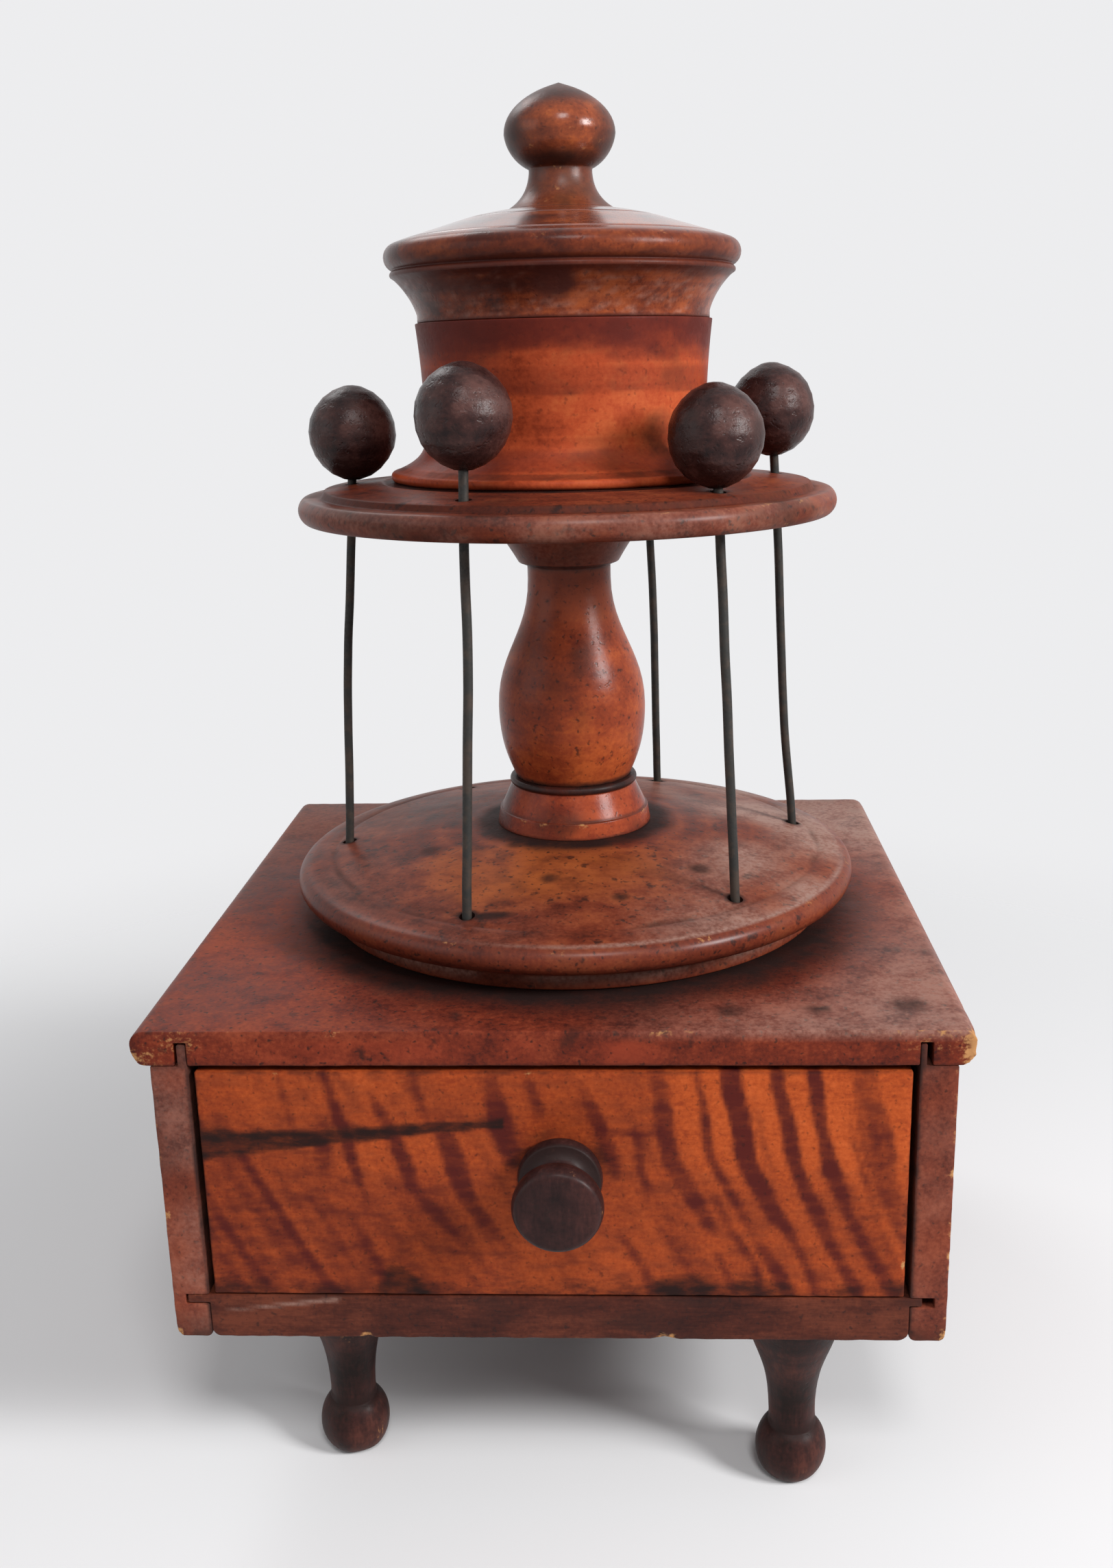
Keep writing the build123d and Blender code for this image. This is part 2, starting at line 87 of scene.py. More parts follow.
def strokeShare(x, y, points, soft=0.75):  # a drawn stroke from (x, y, width, strength) points
    share = 0
    for (ax, ay, startWide, startFull), (bx, by, endWide, endFull) in zip(points, points[1:]):
        if min(ax, bx) - strokeReach < x < max(ax, bx) + strokeReach:
            runX, runY = bx - ax, by - ay
            along = ((x - ax) * runX + (y - ay) * runY) / (runX * runX + runY * runY)
            along = min(1, max(0, along))
            away = math.hypot(x - ax - runX * along, y - ay - runY * along)
            half = 0.5 * (startWide + (endWide - startWide) * along)
            full = startFull + (endFull - startFull) * along
            share = max(share, full * ramp(half + soft, max(0, half - soft), away))
    return share


def boxOf(node):  # lowest and highest corner of a node, in millimetres
    low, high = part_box(node)
    return low / mm, high / mm


# Outlines

cornerShare = 0.45    # most of an edge that a rounded corner may take
nearlyStraight = 2.7  # corners flatter than this angle, in radians, stay as they are


def arc(via, end):
    return ("arc", via, end)


def curve(*controls):
    return ("curve", *controls)


def arcPoints(start, via, end, pieces=10):
    (ax, ay), (bx, by), (cx, cy) = start, via, end
    aa, bb, cc = ax * ax + ay * ay, bx * bx + by * by, cx * cx + cy * cy
    twice = 2 * (ax * (by - cy) + bx * (cy - ay) + cx * (ay - by))
    ux = (aa * (by - cy) + bb * (cy - ay) + cc * (ay - by)) / twice
    uy = (aa * (cx - bx) + bb * (ax - cx) + cc * (bx - ax)) / twice
    radius = math.hypot(ax - ux, ay - uy)
    first = math.atan2(ay - uy, ax - ux)
    turn = (math.atan2(cy - uy, cx - ux) - first) % math.tau
    if (math.atan2(by - uy, bx - ux) - first) % math.tau > turn:
        turn -= math.tau
    steps = [first + turn * step / pieces for step in range(1, pieces + 1)]
    return [(ux + radius * math.cos(a), uy + radius * math.sin(a)) for a in steps]


def curvePoints(*controls, pieces=12):
    made = []
    for step in range(1, pieces + 1):
        row = [Vector(point) for point in controls]
        while len(row) > 1:
            row = [a.lerp(b, step / pieces) for a, b in zip(row, row[1:])]
        made.append(tuple(row[0]))
    return made


def trace(start, *moves):  # a line of points, arcs and curves
    points = [start]
    for move in moves:
        if move[0] == "arc":
            points += arcPoints(points[-1], *move[1:])
        elif move[0] == "curve":
            points += curvePoints(points[-1], *move[1:])
        else:
            points.append(move)
    return points


def rounded(corners):  # closed outline from (across, up, radius) corners
    made = []
    for index, (across, up, radius) in enumerate(corners):
        here = Vector((across, up))
        before = Vector(corners[index - 1][:2]) - here
        after = Vector(corners[(index + 1) % len(corners)][:2]) - here
        cut = min(radius, before.length * cornerShare, after.length * cornerShare)
        start = here + before.normalized() * cut
        end = here + after.normalized() * cut
        made.append(tuple(start))
        made += curvePoints(start, start.lerp(here, 0.55), end.lerp(here, 0.55), end,
                            pieces=max(3, round(radius * 3)))
    return made


def ease(points, radius):  # takes the sharpness off the corners of a turned outline
    made = [points[0]]
    for before, here, after in zip(points, points[1:], points[2:]):
        back = Vector(before) - Vector(here)
        on = Vector(after) - Vector(here)
        if back.angle(on) > nearlyStraight:
            made.append(here)
            continue
        start = Vector(here) + back.normalized() * min(radius, back.length * cornerShare)
        end = Vector(here) + on.normalized() * min(radius, on.length * cornerShare)
        made.append(tuple(start))
        made += curvePoints(start, here, end, pieces=4)
    return made + [points[-1]]


def refine(points, longest, closed=False):  # no step of the outline longer than this
    ends = points[1:] + points[:1] if closed else points[1:]
    made = []
    for start, end in zip(points, ends):
        parts = max(1, math.ceil(math.dist(start, end) / longest))
        made += [tuple(Vector(start).lerp(Vector(end), part / parts)) for part in range(parts)]
    return made if closed else made + [points[-1]]


def shrunk(outline, inset):  # a closed outline drawn in all round
    made = []
    for index, here in enumerate(outline):
        run = Vector(outline[(index + 1) % len(outline)]) - Vector(outline[index - 1])
        inward = Vector((-run.y, run.x)).normalized()
        made.append(tuple(Vector(here) + inward * inset))
    return made


def inside(point, outline):
    x, y = point
    odd = False
    for (ax, ay), (bx, by) in zip(outline, outline[1:] + outline[:1]):
        if (ay > y) != (by > y) and x < ax + (y - ay) * (bx - ax) / (by - ay):
            odd = not odd
    return odd


def fillFace(outline, spacing):  # triangles for the end of a board, with points within it
    low = [min(point[k] for point in outline) for k in (0, 1)]
    high = [max(point[k] for point in outline) for k in (0, 1)]
    counts = [int((high[k] - low[k]) / spacing) for k in (0, 1)]
    spots = [(low[0] + (i + 0.5) * spacing, low[1] + (j + 0.5) * spacing)
             for i in range(counts[0] + 1) for j in range(counts[1] + 1)]
    inner = [spot for spot in spots if inside(spot, outline)
             and min(math.dist(spot, edge) for edge in outline) > spacing * 0.55]
    flat = [Vector(point) for point in outline + inner]
    found = delaunay_2d_cdt(flat, [], [list(range(len(outline)))], 1, 1e-6)
    source = [origins[0] for origins in found[3]]
    return inner, [[source[corner] for corner in face] for face in found[2]]


# Meshes

sharpAngle = 38   # edges sharper than this many degrees stay crisp
wornWidth = 1.8   # how far in from a board's edges the wear reaches
coreDepth = 3     # wear and chips press towards a box this far inside a board


def addPiece(name, verts, faces, place=None):  # points in millimetres
    mesh = bpy.data.meshes.new(name)
    mesh.from_pydata([Vector(vert) * mm for vert in verts], [], faces)
    work = bmesh.new()
    work.from_mesh(mesh)
    bmesh.ops.recalc_face_normals(work, faces=work.faces)
    work.to_mesh(mesh)
    work.free()
    piece = bpy.data.objects.new(name, mesh)
    scene.collection.objects.link(piece)
    if place:
        piece.matrix_world = place
    return piece


def turned(name, look, outline, place, lumps=None):  # turned round its own Z axis, the arrises eased
    steps = look["steps"]
    verts, rings, faces = [], [], []
    for radius, height in refine(ease(outline, look["eased"]), look["longest"]):
        if radius < 0.01:
            rings.append([len(verts)] * steps)
            verts.append((0, 0, height))
            continue
        rings.append(list(range(len(verts), len(verts) + steps)))
        for step in range(steps):
            angle = math.tau * step / steps
            reach = radius + (lumps(angle, radius, height) if lumps else 0)
            verts.append((reach * math.cos(angle), reach * math.sin(angle), height))
    for low, high in zip(rings, rings[1:]):
        for step in range(steps):
            beside = (step + 1) % steps
            corners = list(dict.fromkeys([low[step], low[beside], high[beside], high[step]]))
            if len(corners) > 2:
                faces.append(corners)
    return addPiece(name, verts, faces, place)


def lengthwise(low, high, spacing, first, eased=0.25):  # places along a board, and how drawn in
    ends = ((0, 1), (0.3, 0.29), (1, 0))
    stations = [(low + eased * along, eased * inset) for along, inset in ends]
    step, here = first, low + eased
    while here + step < high - eased - 0.5 * step:
        here += step
        stations.append((here, 0))
        step = min(spacing, step * 1.3)
    return stations + [(high - eased * along, eased * inset) for along, inset in reversed(ends)]


def prism(name, outline, stations, stand, frontGrid, backGrid):
    count = len(outline)
    verts, faces = [], []
    for along, inset in stations:
        verts += [stand(across, up, along) for across, up in shrunk(outline, inset)]
    for row in range(len(stations) - 1):
        for corner in range(count):
            a, b = row * count + corner, row * count + (corner + 1) % count
            faces.append((a, b, b + count, a + count))
    for row, spacing in ((0, frontGrid), (len(stations) - 1, backGrid)):
        along, inset = stations[row]
        inner, ends = fillFace(shrunk(outline, inset), spacing)
        start = len(verts) - count
        verts += [stand(across, up, along) for across, up in inner]
        for face in ends:
            faces.append([corner + (start if corner >= count else row * count) for corner in face])
    return addPiece(name, verts, faces)


def alongY(across, up, along):
    return (across, along, up)


def alongZ(across, up, along):
    return (across, up, along)


def edgeDistance(point, low, high):  # how far a point of a board lies from its nearest edge
    gaps = sorted(min(point[k] - low[k], high[k] - point[k]) for k in range(3))
    return gaps[1]


def weather(piece, low, high, wear, chips):  # rubs the edges down and breaks chips out
    core = [sorted((low[k] + coreDepth, high[k] - coreDepth)) for k in range(3)]
    for vertex in piece.data.vertices:
        here = vertex.co / mm
        rough = 0.5 + 0.5 * clouds(here, 0, 0.3)
        dent = wear * rough * ramp(wornWidth, 0, edgeDistance(here, low, high))
        for x, y, z, radius, depth in chips:
            away = math.dist(here, (x, y, z))
            if away < radius * 1.6:
                ragged = 0.75 + 0.5 * clouds(here, 4, 1.1)
                dent = max(dent, depth * ragged * blot(away, radius, 0.5))
        if dent > 0:
            aim = Vector([min(max(here[k], core[k][0]), core[k][1]) for k in range(3)]) - here
            vertex.co = (here + aim.normalized() * dent) * mm


def sawn(name, look, corners, low, high, stand=alongY, chips=()):  # a worn board, from its end's corners
    along = 1 if stand is alongY else 2
    outlineStep, first, lengthStep, frontGrid, backGrid = look["mesh"]
    outline = refine(rounded(corners), outlineStep, closed=True)
    stations = lengthwise(low[along], high[along], lengthStep, first)
    piece = prism(name, outline, stations, stand, frontGrid, backGrid)
    weather(piece, low, high, look["wear"], chips)
    return piece


def chipShare(point, chips):  # where chips leave the wood bare
    shares = [blot(math.dist(point, chip[:3]), chip[3], 0.4) for chip in chips]
    return max(shares, default=0)


def drill(piece, bores):  # cuts round holes, given as (start, end, radius) in the piece's frame
    tool = bmesh.new()
    for start, end, radius in bores:
        run = end - start
        turn = Vector((0, 0, 1)).rotation_difference(run).to_matrix().to_4x4()
        place = Matrix.Translation((start + end) * 0.5 * mm) @ turn
        bmesh.ops.create_cone(tool, cap_ends=True, segments=20, radius1=radius * mm, radius2=radius * mm,
                              depth=run.length * mm, matrix=place)
    mesh = bpy.data.meshes.new("boreTool")
    tool.to_mesh(mesh)
    tool.free()
    cutter = bpy.data.objects.new("boreTool", mesh)
    scene.collection.objects.link(cutter)
    cutter.matrix_world = piece.matrix_world
    cut = piece.modifiers.new("bores", "BOOLEAN")
    cut.operation = "DIFFERENCE"
    cut.solver = "EXACT"
    cut.object = cutter
    ready = piece.evaluated_get(bpy.context.evaluated_depsgraph_get())
    piece.data = bpy.data.meshes.new_from_object(ready)
    piece.modifiers.clear()
    bpy.data.objects.remove(cutter)


def tube(name, path, radius, sides=16):  # a wire along a list of points
    verts, faces = [], []
    for index, here in enumerate(path):
        run = (path[min(index + 1, len(path) - 1)] - path[max(index - 1, 0)]).normalized()
        side = run.cross(Vector((0, 1, 0))).normalized()
        for step in range(sides):
            angle = math.tau * step / sides
            verts.append(here + (side * math.cos(angle) + run.cross(side) * math.sin(angle)) * radius)
    for row in range(len(path) - 1):
        for step in range(sides):
            a, b = row * sides + step, row * sides + (step + 1) % sides
            faces.append((a, b, b + sides, a + sides))
    faces.append(list(range(sides)))
    faces.append(list(range(len(verts) - sides, len(verts))))
    return addPiece(name, verts, faces)


def settle(piece, body, node, slot, finish, **layers):  # painted layers, finish and place in the frame
    for name, share in layers.items():
        values = piece.data.attributes.new(name, "FLOAT", "POINT").data
        for vertex, value in zip(piece.data.vertices, values):
            value.value = min(1, max(0, share(vertex.co / mm)))
    piece.data.shade_smooth()
    piece.data.set_sharp_from_angle(angle=math.radians(sharpAngle))
    piece.data.materials.append(finish)
    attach(piece, body)
    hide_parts(node)


# Finishes

def plug(tree, node, plugs):  # joins or sets the inputs of a node
    for key, value in plugs.items():
        if isinstance(value, bpy.types.NodeSocket):
            tree.links.new(value, node.inputs[key])
        else:
            node.inputs[key].default_value = value


def addNode(tree, kind, plugs=None, **settings):
    made = tree.nodes.new("ShaderNode" + kind)
    for key, value in settings.items():
        setattr(made, key, value)
    plug(tree, made, plugs or {})
    return made


def sums(tree, how, one, other):
    return addNode(tree, "Math", {0: one, 1: other}, operation=how).outputs[0]


def between(tree, value, low, high, toLow=0, toHigh=1):
    plugs = {0: value, 1: low, 2: high, 3: toLow, 4: toHigh}
    return addNode(tree, "MapRange", plugs, interpolation_type="SMOOTHSTEP").outputs[0]


def blend(tree, share, one, other):
    one, other = [colour if isinstance(colour, bpy.types.NodeSocket) else (*colour, 1)
                  for colour in (one, other)]
    return addNode(tree, "Mix", {0: share, 6: one, 7: other}, data_type="RGBA").outputs[2]


def grainNoise(tree, spot, scales, detail=4):
    stretched = addNode(tree, "Mapping", {"Vector": spot, "Scale": scales}).outputs[0]
    plugs = {"Vector": stretched, "Scale": 1, "Detail": detail, "Roughness": 0.6}
    return addNode(tree, "TexNoise", plugs).outputs["Fac"]


def layer(tree, name):
    return addNode(tree, "Attribute", attribute_name=name).outputs["Fac"]


def newFinish(name):
    finish = bpy.data.materials.new(name)
    finish.use_nodes = True
    return finish, finish.node_tree, finish.node_tree.nodes["Principled BSDF"]


plainLook = dict(
    grain="x",  # the way the fibres run
    tones=((0.060, 0.011, 0.008), (0.165, 0.026, 0.012), (0.30, 0.056, 0.022)),  # worn in, usual, rubbed
    cloud=1.2, cloudSize=26, mottle=0.9, mottleSize=170, fibre=0.45, fibreSize=1500, grit=0.4, gritSize=1000,
    bands=0, bandSize=300, pits=0.6, pitSize=780, spots=0, spotSize=240,
    figureTint=(0.10, 0.02, 0.014), grimeTint=(0.020, 0.010, 0.009), bareTint=(0.48, 0.235, 0.092),
    dustTint=(0.34, 0.20, 0.16), rough=(0.36, 0.54), shine=0.13, polish=0, coatRough=0.2, relief=0.07,
)
grainWays = {"x": (0.16, 1, 1), "y": (1, 0.16, 1), "z": (1, 1, 0.16), "even": (0.7, 1, 1)}


def toneRamp(tree, share, tones):  # dark, usual and light tone of one wood
    made = addNode(tree, "ValToRGB", {0: share})
    stops = made.color_ramp.elements
    stops.new(0.5)
    for stop, place, tone in zip(stops, (0.22, 0.5, 0.78), tones):
        stop.position = place
        stop.color = (*tone, 1)
    return made.outputs[0]


def turningRings(tree, spot, size):  # rings of colour left by turning
    parts = addNode(tree, "SeparateXYZ", {0: spot}).outputs
    flat = addNode(tree, "CombineXYZ", {0: parts[0], 1: parts[1]}).outputs[0]
    radius = addNode(tree, "VectorMath", {0: flat}, operation="LENGTH").outputs[1]
    plugs = {"W": sums(tree, "ADD", radius, parts[2]), "Scale": size, "Detail": 3}
    return addNode(tree, "TexNoise", plugs, noise_dimensions="1D").outputs["Fac"]


def woodFinish(name, **changes):
    look = {**plainLook, **changes}
    finish, tree, shader = newFinish(name)
    spot = addNode(tree, "TexCoord").outputs["Object"]
    ways = grainWays[look["grain"]]
    cloud = grainNoise(tree, spot, [look["cloudSize"]] * 3)
    mottle = grainNoise(tree, spot, [look["mottleSize"] * way ** 0.5 for way in ways])
    fibre = grainNoise(tree, spot, [look["fibreSize"] * way for way in ways], detail=3)
    grit = grainNoise(tree, spot, [look["gritSize"]] * 3, detail=3)
    dots = grainNoise(tree, spot, [look["pitSize"]] * 3, detail=1.5)
    weighed = [(cloud, look["cloud"]), (mottle, look["mottle"]), (fibre, look["fibre"]), (grit, look["grit"])]
    if look["bands"]:
        weighed.append((turningRings(tree, spot, look["bandSize"]), look["bands"]))
    tone = 0.5 - 0.5 * sum(weight for part, weight in weighed)
    for part, weight in weighed:
        tone = addNode(tree, "Math", {0: part, 1: weight, 2: tone}, operation="MULTIPLY_ADD").outputs[0]
    colour = toneRamp(tree, tone, look["tones"])

    def painted(name, broken, low, high):  # a painted layer with a broken edge
        return between(tree, sums(tree, "ADD", layer(tree, name), broken), low, high)

    ragged = between(tree, mottle, 0.3, 0.7, -0.16, 0.16)
    # the figure layer holds wood figure and, on the vase, painted light
    figure = painted("figure", ragged, 0.05, 1)
    colour = blend(tree, figure, colour, look["figureTint"])
    pit = between(tree, dots, 0.59, 0.75, 0, look["pits"])
    colour = blend(tree, pit, colour, look["grimeTint"])
    if look["spots"]:
        blotch = grainNoise(tree, spot, [look["spotSize"]] * 3, detail=3)
        colour = blend(tree, between(tree, blotch, 0.60, 0.72, 0, look["spots"]), colour, look["grimeTint"])
    film = between(tree, sums(tree, "ADD", grit, mottle), 0.7, 1.3, 0.35, 1.3)
    # the dust layer holds dust and painted sheen
    film = sums(tree, "MULTIPLY", layer(tree, "dust"), film)
    colour = blend(tree, film, colour, look["dustTint"])
    # the grime layer holds grime and painted shade
    grime = painted("grime", ragged, 0.10, 1.05)
    colour = blend(tree, grime, colour, look["grimeTint"])
    broken = between(tree, sums(tree, "ADD", grit, fibre), 0.7, 1.3, -0.34, 0.34)
    bare = painted("bare", broken, 0.30, 1)
    colour = blend(tree, bare, colour, look["bareTint"])

    low, high = look["rough"]
    rough = between(tree, sums(tree, "ADD", cloud, sums(tree, "MULTIPLY", grit, 0.5)), 0.5, 1, low, high)
    rough = sums(tree, "ADD", rough, sums(tree, "MULTIPLY", sums(tree, "MAXIMUM", bare, grime), 0.18))
    height = sums(tree, "ADD", sums(tree, "MULTIPLY", fibre, 0.4), sums(tree, "MULTIPLY", grit, 0.6))
    height = sums(tree, "SUBTRACT", height, pit)
    bump = addNode(tree, "Bump", {"Height": height, "Strength": 0.5, "Distance": look["relief"] * mm})
    plug(tree, shader, {"Base Color": colour, "Roughness": rough, "Normal": bump.outputs[0],
                        "Specular IOR Level": look["shine"],
                        "Coat Roughness": look["coatRough"], "Coat IOR": 1.6})
    if look["polish"]:  # polish that is left only in places
        plug(tree, shader, {"Coat Weight": sums(tree, "MULTIPLY", layer(tree, "polish"), look["polish"])})
    return finish


def ironFinish(name, dark, rust, metallic, rough, scaleSize=260, gritSize=1800):
    finish, tree, shader = newFinish(name)
    spot = addNode(tree, "TexCoord").outputs["Object"]
    scale = grainNoise(tree, spot, [scaleSize] * 3, detail=5)
    grit = grainNoise(tree, spot, [gritSize] * 3, detail=3)
    bump = addNode(tree, "Bump", {"Height": grit, "Strength": 0.4, "Distance": 0.08 * mm})
    plug(tree, shader, {"Base Color": blend(tree, between(tree, scale, 0.42, 0.66), dark, rust),
                        "Roughness": between(tree, grit, 0.3, 0.7, *rough), "Normal": bump.outputs[0],
                        "Metallic": metallic, "Specular IOR Level": 0.3})
    return finish


topFinish = woodFinish(
    "rubbedTopBoard", grain="even", fibre=0.2, cloud=0.7, grit=0.6, pits=0.8, spots=0.6,
    figureTint=(0.30, 0.046, 0.020), shine=0.10)
sideFinish = woodFinish(
    "caseSideBoard", grain="y", tones=((0.08, 0.016, 0.010), (0.185, 0.038, 0.019), (0.29, 0.070, 0.034)))
bottomFinish = woodFinish(
    "caseBottomBoard", tones=((0.03, 0.008, 0.006), (0.072, 0.017, 0.010), (0.145, 0.036, 0.018)))
curlyFinish = woodFinish(
    "curlyDrawerFront", tones=((0.29, 0.046, 0.014), (0.45, 0.080, 0.019), (0.58, 0.114, 0.028)),
    cloud=0.5, mottle=0.8, mottleSize=330, fibre=0.35, grit=0.8, pits=0.45,
    figureTint=(0.090, 0.014, 0.011), shine=0.07)
discFinish = woodFinish(
    "turnedDisc", grain="even", tones=((0.055, 0.013, 0.009), (0.15, 0.029, 0.014), (0.26, 0.060, 0.024)),
    bands=0.3, cloud=0.8, fibre=0.2, pits=0.8, spots=0.8,
    figureTint=(0.35, 0.088, 0.022), rough=(0.32, 0.48), shine=0.06, polish=0.2, coatRough=0.28)
vaseFinish = woodFinish(
    "polishedVase", grain="even", tones=((0.135, 0.024, 0.012), (0.28, 0.049, 0.017), (0.46, 0.098, 0.026)),
    bands=0.25, spots=0.3, cloud=1.1, mottle=0.8, fibre=0.2, pits=0.7,
    figureTint=(0.34, 0.075, 0.032), rough=(0.27, 0.39), shine=0.17)
collarFinish = woodFinish(
    "turnedCollar", grain="even", tones=((0.08, 0.013, 0.008), (0.21, 0.032, 0.013), (0.34, 0.062, 0.021)),
    bands=0.25, fibre=0.2, rough=(0.18, 0.28))
cupFinish = woodFinish(
    "bandedCup", grain="even", tones=((0.22, 0.032, 0.012), (0.41, 0.066, 0.022), (0.54, 0.115, 0.036)),
    bands=0.25, bandSize=420, cloud=0.9, fibre=0.2, pits=0.4,
    figureTint=(0.105, 0.016, 0.011), grimeTint=(0.055, 0.013, 0.009), shine=0.08)
lidFinish = woodFinish(
    "polishedLid", grain="even", tones=((0.06, 0.015, 0.010), (0.17, 0.034, 0.014), (0.33, 0.074, 0.023)),
    bands=0.4, cloud=1.3, mottle=1.1, fibre=0.2, spots=0.5,
    grimeTint=(0.058, 0.013, 0.009), rough=(0.18, 0.32), shine=0.12, polish=1, coatRough=0.16)
finialFinish = woodFinish(
    "polishedFinial", grain="even", tones=((0.10, 0.022, 0.012), (0.26, 0.058, 0.021), (0.46, 0.115, 0.032)),
    bands=0.3, fibre=0.2, pits=0.5, spots=0.3,
    grimeTint=(0.034, 0.012, 0.009), rough=(0.16, 0.28), shine=0.24)
knobFinish = woodFinish(
    "darkKnob", grain="y", tones=((0.014, 0.006, 0.006), (0.032, 0.012, 0.011), (0.06, 0.021, 0.018)),
    bands=0.4, rough=(0.32, 0.48), shine=0.14)
ballFinish = woodFinish(
    "darkBall", grain="even", tones=((0.015, 0.006, 0.006), (0.040, 0.015, 0.013), (0.085, 0.036, 0.030)),
    cloudSize=80, fibre=0.4, spots=0.4, relief=0.30, rough=(0.24, 0.40), shine=0.20)
footFinish = woodFinish(
    "darkFoot", grain="z", tones=((0.013, 0.006, 0.005), (0.035, 0.012, 0.010), (0.078, 0.025, 0.018)),
    bands=0.3, cloudSize=60)
plainFinish = woodFinish(
    "unfinishedBoard", grain="y", tones=((0.17, 0.085, 0.036), (0.29, 0.15, 0.065), (0.38, 0.21, 0.10)),
    fibre=1, rough=(0.6, 0.8))
wireFinish = ironFinish("darkIronWire", (0.026, 0.025, 0.023), (0.050, 0.036, 0.028), 0.2, (0.5, 0.72))
steelFinish = ironFinish("oldSteel", (0.11, 0.10, 0.095), (0.10, 0.055, 0.038), 0.7, (0.45, 0.65))
print("finishes made:", len(bpy.data.materials))


# Case

topLow, topHigh = boxOf("case_top")
bottomLow, bottomHigh = boxOf("case_bottom")
sideLow, sideHigh = boxOf("case_side_right")
standLow, standHigh = boxOf("lower_disc")
standAxis = (standLow + standHigh) / 2
caseFront = topLow.y
insideHalf = sideLow.x    # from the middle to the inner faces of the sides
nailProud = 0.06          # nail heads stand this far out of the boards
rebateRound = 0.2         # inner corners of grooves and rebates


def frontShare(p, start=-71.5, end=-73):  # 1 on the front face of the case
    return ramp(start, end, p.y)


topBoard = dict(
    nose=3.2, grooveWide=2.6, grooveDeep=5.2, crisp=0.4, wear=0.22, mesh=(2.2, 0.6, 2.6, 1.1, 3),
    chips=[  # x, y, z, radius, depth
        (86.8, caseFront, 110.4, 3.8, 0.9), (86.4, caseFront + 0.5, 113.2, 3.2, 0.6),
        (-86.4, caseFront, 109.4, 1.8, 0.5), (85.9, -60, 113, 1, 0.2),
    ],
    rubs=[  # x, z, radius, strength
        (-76, 113.6, 3.4, 0.48), (-84, 109.2, 3.2, 0.5), (76, 112.6, 2.6, 0.5), (81, 113.8, 3, 0.5),
    ],
    reds=[  # x, z, half width, strength
        (-40, 110.6, 24, 0.5), (-66, 110, 9, 0.4), (15, 110.4, 7, 0.75), (-7, 111, 5, 0.5),
    ],
    stains=[(37, -63, 3.2), (55, -63, 2.6), (74, -61, 4.2), (-20, -66, 2)],  # x, y, radius
)


def caseTop():
    look = topBoard
    crisp, nose = look["crisp"], look["nose"]
    grooveTop = topLow.z + look["grooveDeep"]
    outer = insideHalf + look["grooveWide"]
    corners = [(topLow.x, topLow.z, nose)]
    for left, right in ((-outer, -insideHalf), (insideHalf, outer)):
        corners += [(left, topLow.z, crisp), (left, grooveTop, rebateRound),
                    (right, grooveTop, rebateRound), (right, topLow.z, crisp)]
    corners += [(topHigh.x, topLow.z, nose), (topHigh.x, topHigh.z, nose), (topLow.x, topHigh.z, nose)]
    piece = sawn("topBoard", look, corners, topLow, topHigh, chips=look["chips"])

    def figure(p):  # brighter red where the front edge has been rubbed
        ragged = 0.75 + 0.5 * speckle(p.x * 0.12, p.z * 0.2, 0, 6)
        return frontShare(p) * ragged * max(share * near(p.x, x, wide, 0.6) * near(p.z, z, 3, 0.4)
                                            for x, z, wide, share in look["reds"])

    def dust(p):
        # painted sheen with some dust: a pale film on the top that grows towards the right and the back
        away = math.hypot(p.x - standAxis.x, p.y - standAxis.y)
        corners = ramp(66, 96, away + 14 * clouds(p, 12, 0.04, 0))
        side = 0.04 + 0.54 * ramp(-10, 70, p.x) + 0.28 * ramp(-20, 40, p.y)
        return corners * side * ramp(113.5, 114.8, p.z)

    def grime(p):
        away = math.hypot(p.x - standAxis.x, p.y - standAxis.y)
        # painted shadow of the disc together with grime: a dark ring round it, strongest at the front
        share = ramp(84 + 6 * clouds(p, 5, 0.05, 0), 62, away) * (0.5 + 0.5 * ramp(40, -40, p.y))
        marks = [0.75 * stain(p.x - x, p.y - y, radius) for x, y, radius in look["stains"]]
        smear = 0.7 * blot(abs(p.x - 3 - 0.4 * (p.z - 111)), 2) * ramp(-66, -72.5, p.y) * ramp(107, 114, p.z)
        lowEdge = 0.55 * ramp(109.2, 107.8, p.z)
        back = 0.3 * ramp(60, 88, p.y)
        return max(share, *marks, smear, lowEdge, back, 0.2 * ramp(113.5, 114.6, p.z) * ramp(20, -40, p.x))

    def bare(p):
        flecks = ramp(0.1, 0.5, clouds(p, 9, 0.5, 0.9))
        runs = ramp(-0.1, 0.35, clouds(p, 2, 0.06, 0))
        rim = ramp(0.9, 0.1, edgeDistance(p, topLow, topHigh)) * flecks * runs * ramp(111, 113, p.z) * 0.85
        rubbed = max(share * stain((p.x - x) * 0.7, p.z - z, radius, 0.7)
                     for x, z, radius, share in look["rubs"]) * frontShare(p)
        return max(chipShare(p, look["chips"]), rim, rubbed * (0.6 + 0.6 * flecks))

    settle(piece, "case", "case_top", "case_wood", topFinish,
           figure=figure, dust=dust, grime=grime, bare=bare)


sideBoard = dict(
    grooveLow=51.9, grooveHigh=54.2, grooveDeep=5.2, foot=1.4, crisp=0.35, wear=0.25,
    mesh=(1.6, 0.6, 4, 0.9, 3),
    left=dict(
        sign=-1, tongue=2, film=0.26, worn=0.4,
        chips=[(-82.4, caseFront, 73.5, 1.3, 0.35), (-82.2, caseFront, 44.6, 1.4, 0.5)],
    ),
    right=dict(
        sign=1, tongue=1.35, film=0.1, worn=0.62,  # its tongue has shrunk and shows a gap
        chips=[(82.4, caseFront, 83.5, 1, 0.3), (82.4, caseFront, 64, 0.9, 0.3),
               (82.2, caseFront, 45, 1.5, 0.5)],
    ),
)


